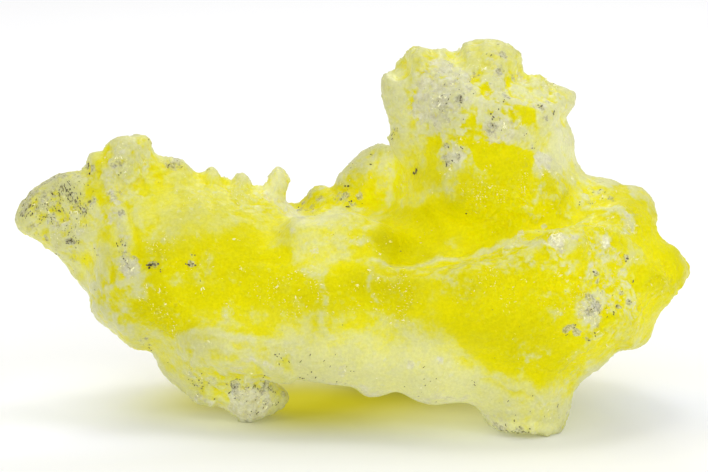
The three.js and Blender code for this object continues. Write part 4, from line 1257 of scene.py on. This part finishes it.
def crust_group():
    """White crust in ragged crisp-edged patches, and a slow change between its whiter and greyer parts"""
    g, i, o = new_group("crust_patches", [
        ("Vector", "NodeSocketVector", None),
        ("Crust", "NodeSocketFloat", 0.0),
    ], [("Crust", "NodeSocketFloat"), ("Grey", "NodeSocketFloat")])
    vector = i.outputs["Vector"]
    field = even_cloud(g, vector, 700, 8, 0.75, 0.17)
    g.links.new(over(g, i.outputs["Crust"], field, 0.55), o.inputs["Crust"])
    g.links.new(even_cloud(g, vector, 950, 5, 0.7, 0.16), o.inputs["Grey"])
    return g


def dust_group():
    """Grey dust in ragged drifts with pepper in them, and dark specks drawn out into short streaks"""
    g, i, o = new_group("dust", [
        ("Vector", "NodeSocketVector", None),
        ("Dust", "NodeSocketFloat", 0.0),
        ("Specks", "NodeSocketFloat", 0.0),
    ], [("Dust", "NodeSocketFloat"), ("Specks", "NodeSocketFloat"), ("Grain", "NodeSocketFloat")])
    vector = i.outputs["Vector"]
    drifted = even_cloud(g, vector, 1000, 6, 0.75, 0.17)
    g.links.new(over(g, i.outputs["Dust"], drifted, 0.55), o.inputs["Dust"])
    g.links.new(cloud(g, vector, 2900, 4, 0.7), o.inputs["Grain"])
    where = even_cloud(g, vector, 520, 3, 0.6, 0.15)
    turned = step(g, "ShaderNodeMapping", {
        "Vector": vector, "Rotation": (0.0, math.radians(-38), 0.0), "Scale": (1.0, 1.0, 0.45)})
    streaks = cloud(g, turned.outputs[0], 2300, 2, 0.6)
    share = maths(g, "MULTIPLY", i.outputs["Specks"], maths(g, "MULTIPLY_ADD", where, 0.9, 0.25))
    limit = maths(g, "MULTIPLY_ADD", share, -0.16, 0.76)
    rise = maths(g, "SUBTRACT", streaks, limit)
    g.links.new(maths(g, "MULTIPLY", rise, 30.0, clamp=True), o.inputs["Specks"])
    return g


def facet_group():
    """Tiny flat crystal faces: each cell leans the surface its own way"""
    g, i, o = new_group("sugar_facets", [
        ("Vector", "NodeSocketVector", None),
        ("Sugar", "NodeSocketFloat", 0.5),
        ("Scale", "NodeSocketFloat", 1900.0),
        ("Lean", "NodeSocketFloat", 0.9),
    ], [("Normal", "NodeSocketVector"), ("Height", "NodeSocketFloat")])
    vector = i.outputs["Vector"]
    cells = effect(g, crystals, {"Vector": vector, "Scale": i.outputs["Scale"]})
    centred = step(g, "ShaderNodeVectorMath", {0: cells.outputs["Lot"], 1: (0.5, 0.5, 0.5)},
                   operation="SUBTRACT")
    lean = maths(g, "MULTIPLY", i.outputs["Sugar"], i.outputs["Lean"])
    tilt = step(g, "ShaderNodeVectorMath", {0: centred.outputs[0], "Scale": lean}, operation="SCALE")
    normal = step(g, "ShaderNodeNewGeometry").outputs["Normal"]
    leaned = step(g, "ShaderNodeVectorMath", {0: normal, 1: tilt.outputs[0]}, operation="ADD")
    unit = step(g, "ShaderNodeVectorMath", {0: leaned.outputs[0]}, operation="NORMALIZE")
    g.links.new(unit.outputs[0], o.inputs["Normal"])
    fine = cloud(g, vector, 2600, 3)
    broad = cloud(g, vector, 900, 2)
    g.links.new(maths(g, "MULTIPLY_ADD", broad, 1.6, fine), o.inputs["Height"])
    return g


crystals = cells_group()
mottle = mottle_group()
patching = crust_group()
dusting = dust_group()
facets = facet_group()


def srgb(r, g, b):
    return tuple(((c / 255 + 0.055) / 1.055) ** 2.4 if c > 10 else c / 255 / 12.92 for c in (r, g, b)) + (1,)


def mixed(tree, factor, a, b):
    return step(tree, "ShaderNodeMix", {0: factor, 6: a, 7: b}, data_type="RGBA").outputs[2]


def painted(tree, name):
    return step(tree, "ShaderNodeAttribute", attribute_name=name).outputs["Fac"]


def new_material(name):
    material = bpy.data.materials.new(name)
    material.use_nodes = True
    return material, material.node_tree, material.node_tree.nodes["Principled BSDF"]


def crust_material():
    m, t, b = new_material("brucite_crust")
    vector = step(t, "ShaderNodeTexCoord").outputs["Object"]
    sugar_amount = painted(t, "sugar")
    mottled = effect(t, mottle, {
        "Vector": vector, "Depth": painted(t, "yellow_depth"), "Sugar": sugar_amount,
        "Broken": painted(t, "broken")})
    # Painted sheen: the yellow is paled by up to 0.38 toward edges seen at a slant, following the view
    # direction
    rim = step(t, "ShaderNodeLayerWeight", {"Blend": 0.3}).outputs["Facing"]
    rim_paling = maths(t, "MULTIPLY", maths(t, "POWER", rim, 2.0), 0.38)
    full_depth = maths(t, "MULTIPLY", mottled.outputs["Depth"], 1.1)
    seen_depth = maths(t, "MULTIPLY", full_depth, maths(t, "SUBTRACT", 1.0, rim_paling))
    ramp = step(t, "ShaderNodeValToRGB", {"Fac": seen_depth})
    stops = ramp.color_ramp.elements
    stops[0].color = srgb(217, 217, 166)
    stops[1].color = srgb(222, 215, 0)
    stops.new(0.25).color = srgb(218, 217, 140)
    stops.new(0.5).color = srgb(220, 217, 100)
    stops.new(0.75).color = srgb(221, 215, 40)
    patched = effect(t, patching, {"Vector": vector, "Crust": painted(t, "white_crust")})
    crusty = patched.outputs["Crust"]
    chalk = mixed(t, patched.outputs["Grey"], srgb(226, 225, 200), srgb(200, 197, 164))
    colour = mixed(t, maths(t, "MULTIPLY", crusty, 0.9), ramp.outputs["Color"], chalk)
    dusty = effect(t, dusting, {
        "Vector": vector, "Dust": painted(t, "grey_dust"), "Specks": painted(t, "dark_specks")})
    grain = spread(t, dusty.outputs["Grain"], 0.36, 0.62)
    grey = mixed(t, grain, srgb(128, 124, 102), srgb(206, 204, 184))
    colour = mixed(t, maths(t, "MULTIPLY", dusty.outputs["Dust"], 0.72), colour, grey)
    colour = mixed(t, maths(t, "MULTIPLY", dusty.outputs["Specks"], 0.75), colour, srgb(86, 78, 52))
    # Painted light and shade: the shade attribute scales the colour up or down, times a small random grit
    painted_shade_with_grit = maths(t, "MULTIPLY_ADD", painted(t, "shade"), 0.6, 0.688)
    grit = spread(t, cloud(t, vector, 2400, 3, 0.7), 0.3, 0.7, 0.95, 1.05)
    painted_shade_with_grit = maths(t, "MULTIPLY", painted_shade_with_grit, grit)
    scaled = step(t, "ShaderNodeVectorMath", {0: colour, "Scale": painted_shade_with_grit}, operation="SCALE")
    colour = scaled.outputs[0]
    t.links.new(colour, b.inputs["Base Color"])
    dull = maths(t, "MULTIPLY_ADD", maths(t, "MAXIMUM", crusty, dusty.outputs["Dust"]), 0.35, 0.3)
    t.links.new(dull, b.inputs["Roughness"])
    faceted = effect(t, facets, {"Vector": vector, "Sugar": sugar_amount})
    bump = step(t, "ShaderNodeBump", {
        "Strength": 0.8, "Distance": 0.15 * MM,
        "Height": faceted.outputs["Height"], "Normal": faceted.outputs["Normal"]})
    t.links.new(bump.outputs[0], b.inputs["Normal"])
    b.inputs["Specular IOR Level"].default_value = 0.4
    b.inputs["Specular Tint"].default_value = (1.0, 0.97, 0.12, 1)
    # Painted glow: the colour is also emitted faintly, standing in for light that passes through the stone
    t.links.new(colour, b.inputs["Emission Color"])
    b.inputs["Emission Strength"].default_value = 0.1
    b.inputs["Subsurface Weight"].default_value = 1.0
    b.inputs["Subsurface Radius"].default_value = (1.0, 0.92, 0.4)
    b.inputs["Subsurface Scale"].default_value = LIGHT_SPREAD
    return m


crust_look = crust_material()
mass.data.materials.clear()
mass.data.materials.append(crust_look)
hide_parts("brucite")
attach(mass, "root")

# Single dark grains and flakes: across, up, length, width (mm), turn (degrees)
grains = [
    (-46.25, 28, 0.7, 0.25, 70), (-45.5, 28.75, 1, 0.25, 30), (-44.5, 28.5, 0.6, 0.2, 165),
    (-49, 29.25, 0.8, 0.15, 65), (-41.75, 32, 1.2, 0.2, 120), (-41, 31, 1, 0.35, 125),
    (-40.5, 30.25, 1.1, 0.35, 130), (-42.25, 25, 0.7, 0.35, 25), (-44, 23, 0.7, 0.3, 150),
    (-39, 36.5, 0.6, 0.4, 50), (-34.5, 25, 1.2, 0.25, 100), (-34, 22, 0.9, 0.25, 130),
    (-33.5, 21, 0.7, 0.3, 125), (-30, 21.5, 2, 0.6, 5), (-30.25, 21.25, 0.8, 0.4, 60),
    (-28.75, 20.5, 0.6, 0.3, 140), (-24.25, 21.5, 1.5, 0.5, 170), (-21.5, 35.75, 0.6, 0.3, 40),
    (-30, 40.25, 0.4, 0.3, 60), (-30.5, 8.5, 0.6, 0.4, 120), (-7.75, 4, 0.9, 0.3, 5),
    (-0.25, 5, 0.6, 0.3, 15), (-11.75, 7.5, 0.6, 0.3, 150), (-17.5, 3.75, 0.9, 0.15, 10),
    (-13.5, 4.25, 0.6, 0.3, 45), (-13.75, 3.25, 0.9, 0.3, 120), (-18, 2.5, 1.2, 0.3, 15),
    (-12.75, 2.25, 0.9, 0.3, 140), (-12, 1.75, 0.7, 0.3, 20), (-11.5, 0, 0.7, 0.3, 40),
    (-14.5, -1.5, 0.6, 0.2, 45), (-18.75, 1.75, 0.6, 0.3, 60), (-22.75, 2.5, 0.7, 0.2, 30),
    (-8.25, 30, 0.4, 0.4, 0), (-1, 33.25, 0.7, 0.4, 0), (-0.5, 31, 0.7, 0.4, 20), (-1, 30.25, 0.6, 0.3, 0),
    (2.5, 36.5, 0.4, 0.4, 0), (2.5, 38, 0.6, 0.2, 10), (9, 35.5, 1, 0.9, 60), (9, 35.25, 0.7, 0.7, 0),
    (15.5, 46.5, 0.7, 0.6, 80), (15.5, 45.75, 0.5, 0.5, 90), (20.25, 43.75, 0.9, 0.3, 140),
    (22, 46, 0.6, 0.3, 60), (28.75, 48.75, 0.9, 0.4, 160), (27.25, 45, 0.7, 0.4, 40),
    (26.25, 39, 0.7, 0.2, 5), (25, 41, 0.6, 0.2, 10), (5.5, 41, 0.7, 0.2, 55), (29.25, 44.25, 0.6, 0.3, 70),
    (13.5, 36.5, 0.7, 0.35, 80), (15.75, 39, 0.6, 0.3, 150), (33.25, 30.75, 0.6, 0.2, 60),
    (35, 30.75, 0.7, 0.2, 20), (35.75, 20.25, 0.6, 0.3, 150), (40.5, 22.25, 0.9, 0.4, 85),
    (41.5, 19, 0.7, 0.3, 60), (41.25, 15.75, 0.6, 0.3, 0), (38.75, 14, 0.7, 0.4, 60),
    (36, 10.75, 0.6, 0.2, 120), (35.25, 9.75, 0.6, 0.3, 0), (31.75, 10.75, 0.6, 0.2, 40),
    (33, 12, 0.6, 0.2, 45), (30.75, -0.25, 0.6, 0.3, 60), (18, 3.25, 0.9, 0.2, 130),
    (21.25, -4, 0.9, 0.3, 160), (22.75, -4.25, 1.2, 0.3, 170), (24.25, -4.5, 1.3, 0.3, 175),
    (25.75, -4.5, 0.9, 0.3, 10), (26.5, -4.25, 0.6, 0.3, 80), (20.5, -3.5, 0.6, 0.3, 140),
    (7, 23.5, 0.3, 0.2, 0), (20.75, 14.5, 0.3, 0.2, 0), (16.5, 29.25, 0.4, 0.3, 0),
]

# Areas peppered with small grains at random: across, up, reach of the area, how many, length (mm), turn
peppered = [
    (-42.2, 33, 1, 6, 1.1, 118), (-41.3, 31.2, 0.9, 6, 1.2, 121), (-40.1, 29.8, 0.8, 5, 0.9, 118),
    (-43.4, 28.6, 1.6, 5, 0.9, 125), (-47.6, 30, 1.2, 4, 0.8, 62),
    (-43.2, 32.6, 0.6, 4, 0.5, 60), (-48.6, 29.2, 1, 4, 0.5, 80), (-46.6, 30.8, 1.2, 5, 0.4, 60),
    (-41.8, 25.2, 0.9, 6, 0.6, 50), (-43.8, 30.2, 2, 9, 0.45, 120), (-40, 33.8, 2, 8, 0.5, 110),
    (-41, 27.6, 2, 7, 0.4, 90), (-39, 35.6, 0.8, 3, 0.45, 70), (-34.5, 24.6, 0.9, 3, 0.6, 100),
    (-23.8, 22.9, 0.4, 2, 0.3, 0), (-27, 37, 3.4, 4, 0.35, 30), (-10.8, 6.7, 1, 4, 0.35, 120),
    (-5, 6, 3, 8, 0.3, 60), (-15, 0.5, 2.6, 7, 0.35, 50), (-22.5, 3, 2.4, 9, 0.4, 50),
    (-6.3, 29.5, 0.9, 4, 0.35, 60), (15, 48, 2.4, 8, 0.35, 60), (20.5, 52, 2, 6, 0.35, 50),
    (13, 45.4, 1.2, 4, 0.4, 70), (21, 43, 1.4, 4, 0.4, 100), (5.5, 41, 0.8, 3, 0.35, 60),
    (14, 38, 1.6, 4, 0.45, 80), (36.6, 32.3, 1, 5, 0.4, 45), (37.5, 15, 2.6, 7, 0.4, 50),
    (25, -1, 3, 5, 0.35, 60), (10.5, 2.8, 3.6, 8, 0.28, 40),
]


def on_surface(normal, turn):
    """Axes lying on the skin: one turned from level by the given angle, one across it, one outward"""
    level = np.cross((0.0, 0.0, 1.0), normal)
    level /= max(np.linalg.norm(level), 1e-6)
    rise = np.cross(normal, level)
    c, s = math.cos(turn), math.sin(turn)
    return np.stack([level * c + rise * s, rise * c - level * s, normal])


def scatter_stones():
    pattern, faces = ball_pattern(1, 0.5)
    rng = np.random.default_rng(90)
    sets = []
    rows = list(grains)
    for u, w, reach, count, length, turn in peppered:
        for across, up in spread_about(u, w, reach, count, rng):
            long = length * rng.uniform(0.7, 1.2)
            wide = rng.uniform(0.12, 0.28)
            rows.append((across, up, long, wide, turn + rng.uniform(-12, 12)))
    for u, w, length, width, turn in rows:
        bits = max(1, round(length / GRAIN_BIT))
        turn = math.radians(turn)
        for k in range(bits):
            along = (k + 0.5) / bits - 0.5
            off = rng.uniform(-0.12, 0.12, 2)
            place, normal = sighted(u + along * length * math.cos(turn) + off[0],
                                    w + along * length * math.sin(turn) + off[1])
            long = length / bits * rng.uniform(0.9, 1.6)
            sets.append((place, normal, long, width * rng.uniform(0.5, 1.0), turn))
    share = np.array([specks[list(f.vertices)].mean() for f in mass.data.polygons])
    places, normals = skin_places(SPECK_COUNT, lambda p: np.clip(share - 0.15, 0, 1) ** 2, 91)
    for place, normal in zip(places, normals):
        size = rng.uniform(0.1, 0.22)
        sets.append((place, normal, size * rng.uniform(1, 2.2), size, rng.uniform(0, FULL_TURN)))
    points = []
    for place, normal, length, width, turn in sets:
        body = pattern * np.array((length, width, min(width, 0.3) * 0.6))
        body = body * rng.uniform(0.55, 1.25, (len(pattern), 1))
        points.append(body @ on_surface(normal, turn) + place)
    return joined("dark_grains", np.concatenate(points), repeated(faces, len(pattern), len(sets)))


def stone_material():
    m, t, b = new_material("dark_grain")
    vector = step(t, "ShaderNodeTexCoord").outputs["Object"]
    shade = spread(t, cloud(t, vector, 1200, 2), 0.35, 0.65)
    t.links.new(mixed(t, shade, srgb(62, 55, 34), srgb(122, 115, 90)), b.inputs["Base Color"])
    b.inputs["Roughness"].default_value = 0.6
    b.inputs["Specular IOR Level"].default_value = 0.3
    return m


stones = scatter_stones()
stones.data.materials.append(stone_material())
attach(stones, "root")


# Areas of painted glints, where sliver crystals are coloured near white as painted highlights: across, up,
# reach of the area (mm), how many
glints = [
    (-46, 29, 3.0, 4), (-41, 29.5, 2.0, 3), (-33.5, 37.5, 2.5, 5), (-33, 21, 2.5, 4), (-29.5, 17, 2.0, 3),
    (-29.5, 25, 3.0, 1), (-20, 14, 4.0, 3), (-17, 24, 4.0, 2), (-9.5, 18, 4.0, 4), (-8, 30, 1.5, 2),
    (2, 19, 3.0, 3), (2.5, 24, 2.5, 4), (6.5, 14, 2.4, 4), (5, 34, 2.0, 3), (14, 34, 2.4, 3),
    (14.5, 40, 2.0, 3),
    (13, 47, 3.0, 5), (19, 30, 2.6, 3), (20, 34, 2.8, 3), (22, 42, 3.0, 4), (18, 51, 3.0, 3),
    (28.4, 48.2, 0.9, 7),
    (29.5, 35, 2.0, 4), (30, 25.4, 1.2, 14), (37.3, 24.5, 0.9, 9), (32, 20, 3.0, 9), (36, 14, 3.5, 9),
    (37, 30.5, 3.0, 7), (40.5, 26, 3.0, 6), (45, 17, 2.0, 4), (32.5, 7, 2.5, 3), (-16, 2.5, 2.5, 6),
    (-13, 0, 2.0, 5), (-24, 3, 2.5, 3),
]


# Sugary crust of tiny broken crystals, some coloured near white as painted glints
def sliver_pattern():
    ring = np.array([(-0.68, -0.06), (0.1, -0.22), (0.68, 0.08), (-0.1, 0.2)])
    top = np.column_stack([ring, np.full(4, 0.1)])
    points = np.concatenate([top, top * (1, 1, -1)])
    faces = [(0, 1, 2), (0, 2, 3), (4, 6, 5), (4, 7, 6)]
    for k in range(4):
        j = (k + 1) % 4
        faces.append((k, 4 + k, 4 + j))
        faces.append((k, 4 + j, j))
    return points, np.array(faces)


def scatter_slivers():
    pattern, faces = sliver_pattern()
    rng = np.random.default_rng(95)
    share = np.array([sugar[list(f.vertices)].mean() for f in mass.data.polygons])

    def sparkle(p):
        return share ** 1.4 * soft(drift(p, 1.6, 97), -0.1, 0.6)

    places, normals = skin_places(SUGAR_COUNT, sparkle, 96)
    sizes = rng.uniform(0, 1, SUGAR_COUNT) ** 2 * 0.24 + 0.11
    picked = []
    for u, w, reach, count in glints:
        for _ in range(count):
            middle = np.array((u, w)) + rng.normal(0, 0.5 * reach, 2)
            size = rng.uniform(0.2, 0.42)
            for k in range(6):
                stray = middle + rng.normal(0, 0.08 if k < 2 else 0.5, 2)
                picked.append((*sighted(*stray), size * (1.2 if k < 2 else 0.6), k < 2))
    places = np.concatenate([[p[0] for p in picked], places])
    normals = np.concatenate([[p[1] for p in picked], normals])
    sizes = np.concatenate([[p[2] for p in picked], sizes])
    count = len(places)
    points = np.empty((count, len(pattern), 3))
    for n in range(count):
        out = normals[n] + rng.normal(0, 0.4, 3)
        out /= np.linalg.norm(out)
        axes = on_surface(out, rng.uniform(0, FULL_TURN))
        body = pattern * sizes[n] * rng.uniform(0.7, 1.3, (len(pattern), 1))
        points[n] = body @ axes + places[n] + normals[n] * sizes[n] * rng.uniform(-0.04, 0.1)
    slivers = joined("sugar_crystals", points.reshape(-1, 3), repeated(faces, len(pattern), count))
    shade = np.empty(count)
    for n in range(count):
        face = tree.find_nearest(Vector(places[n]))[2]
        shade[n] = depth[list(mass.data.polygons[face].vertices)].mean()
    # Painted glints: the picked bright slivers and about a fifth of the rest are paled toward near white
    plain = rng.uniform(0, 1, count) < 0.8
    plain[:len(picked)] = [not p[3] for p in picked]
    shade = shade * np.where(plain, rng.uniform(0.7, 1.15, count), rng.uniform(0.3, 0.8, count))
    layer = slivers.data.attributes.new("yellow_depth", "FLOAT", "POINT")
    layer.data.foreach_set("value", np.clip(np.repeat(shade, len(pattern)), 0, 1))
    return slivers


def sliver_material():
    m, t, b = new_material("sugar_crystal")
    ramp = step(t, "ShaderNodeValToRGB", {"Fac": painted(t, "yellow_depth")})
    stops = ramp.color_ramp.elements
    # The pale end of the ramp is near white, the colour of the painted glints
    stops[0].color = srgb(248, 247, 218)
    stops[1].color = srgb(236, 228, 30)
    t.links.new(ramp.outputs["Color"], b.inputs["Base Color"])
    b.inputs["Roughness"].default_value = 0.2
    b.inputs["Specular IOR Level"].default_value = 0.5
    b.inputs["Specular Tint"].default_value = (1.0, 0.98, 0.6, 1)
    # Painted glow: the slivers faintly emit their own colour
    t.links.new(ramp.outputs["Color"], b.inputs["Emission Color"])
    b.inputs["Emission Strength"].default_value = 0.08
    return m


slivers = scatter_slivers()
slivers.data.materials.append(sliver_material())
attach(slivers, "root")


# Pale studio: lamps, and a paper floor with painted shadow and painted pools of light round the stone
def softbox(name, where, size, power):
    light = bpy.data.lights.new(name, "AREA")
    light.shape = "SQUARE"
    light.size = size
    light.energy = power
    stand = bpy.data.objects.new(name, light)
    stand.location = where
    stand.rotation_euler = (AIM - Vector(where)).to_track_quat("-Z", "Y").to_euler()
    bpy.context.scene.collection.objects.link(stand)


def pool(tree, place, centre, size):
    """1 in the middle of an oval on the floor (mm), fading to 0 at its edge"""
    shift = tuple(-c / s for c, s in zip(centre, size)) + (0.0,)
    scale = tuple(1 / (s * MM) for s in size) + (1.0,)
    around = step(tree, "ShaderNodeMapping", {"Vector": place, "Location": shift, "Scale": scale})
    reach = step(tree, "ShaderNodeVectorMath", {0: around.outputs[0]}, operation="LENGTH").outputs["Value"]
    return spread(tree, reach, 1.0, 0.1)


def studio():
    bpy.ops.object.select_all(action="DESELECT")
    bpy.ops.mesh.primitive_plane_add(size=6, location=(0, 0, 0))
    floor = bpy.context.object
    floor.name = "studio_floor"
    paper, t, b = new_material("paper_with_painted_light")
    b.inputs["Roughness"].default_value = 0.9
    b.inputs["Specular IOR Level"].default_value = 0.0
    place = step(t, "ShaderNodeTexCoord").outputs["Object"]
    # Painted light on the paper: a yellow pool of painted glow where light through the stone would fall, a
    # painted shadow round the stone, and a cooler painted shade to its right
    painted_glow_pool = maths(t, "MULTIPLY", pool(t, place, (-8, 1), (31, 19)), 0.94)
    paper_with_painted_shadow = mixed(t, pool(t, place, (-2, -8), (68, 30)), (0.985, 0.985, 0.99, 1), (0.87, 0.885, 0.86, 1))
    paper_with_painted_cool_shade = mixed(t, pool(t, place, (40, -6), (26, 26)), paper_with_painted_shadow, (0.85, 0.86, 0.97, 1))
    t.links.new(mixed(t, painted_glow_pool, paper_with_painted_cool_shade, (0.97, 0.93, 0.12, 1)), b.inputs["Base Color"])
    # Painted light: the paper also emits faint pools that lighten its shadows near the stone and under its
    # front
    painted_floor_light = mixed(t, pool(t, place, (0, 0), (160, 110)), (0.06, 0.06, 0.06, 1), (0, 0, 0, 1))
    painted_light_beneath = mixed(t, pool(t, place, (17, -9), (25, 14)), (0, 0, 0, 1), (0.22, 0.22, 0.15, 1))
    painted_floor_light = step(t, "ShaderNodeVectorMath", {0: painted_floor_light, 1: painted_light_beneath}, operation="ADD").outputs[0]
    for centre, size, colour in (
        ((-44, 4), (22, 26), (0.11, 0.115, 0.14, 1)),
        ((-20, -7), (12, 8), (0.11, 0.115, 0.14, 1)),
        ((-40, -18), (30, 12), (0.08, 0.08, 0.14, 1)),
        ((45, 2), (22, 20), (0.04, 0.055, 0.12, 1)),
    ):
        painted_side_light = mixed(t, pool(t, place, centre, size), (0, 0, 0, 1), colour)
        painted_floor_light = step(t, "ShaderNodeVectorMath", {0: painted_floor_light, 1: painted_side_light}, operation="ADD").outputs[0]
    t.links.new(painted_floor_light, b.inputs["Emission Color"])
    b.inputs["Emission Strength"].default_value = 1.0
    floor.data.materials.append(paper)
    world = bpy.data.worlds.new("white_room")
    bpy.context.scene.world = world
    world.use_nodes = True
    world.node_tree.nodes["Background"].inputs["Color"].default_value = (1, 1, 1, 1)
    world.node_tree.nodes["Background"].inputs["Strength"].default_value = ROOM_LIGHT
    sky = bpy.data.lights.new("overhead_tent", "SUN")
    sky.energy = TENT_LIGHT
    sky.angle = math.radians(110)
    tent = bpy.data.objects.new("overhead_tent", sky)
    tent.rotation_euler = (math.radians(-4), math.radians(8), 0)
    bpy.context.scene.collection.objects.link(tent)
    softbox("top_box", (0.05, 0.05, 0.7), 0.18, 0.5)
    softbox("left_box", (-0.5, -0.45, 0.4), 0.1, 0.3)
    softbox("right_box", (0.5, -0.4, 0.3), 0.12, 0.5)
    softbox("back_box", (0.1, 0.6, 0.5), 0.12, 0.35)
    softbox("front_fill", (0.1, -0.8, 0.24), 0.3, 0.7)
    # Light that has come down through the stone, on the paper between its feet
    glow = bpy.data.lights.new("through_stone", "AREA")
    glow.shape = "RECTANGLE"
    glow.size = 0.024
    glow.size_y = 0.01
    glow.energy = 0.00012
    glow.color = (1.0, 0.93, 0.02)
    lamp = bpy.data.objects.new("through_stone", glow)
    lamp.location = (-0.002, 0.001, 0.0045)
    lamp.visible_camera = False
    bpy.context.scene.collection.objects.link(lamp)


studio()
bpy.context.scene.view_settings.view_transform = "Standard"
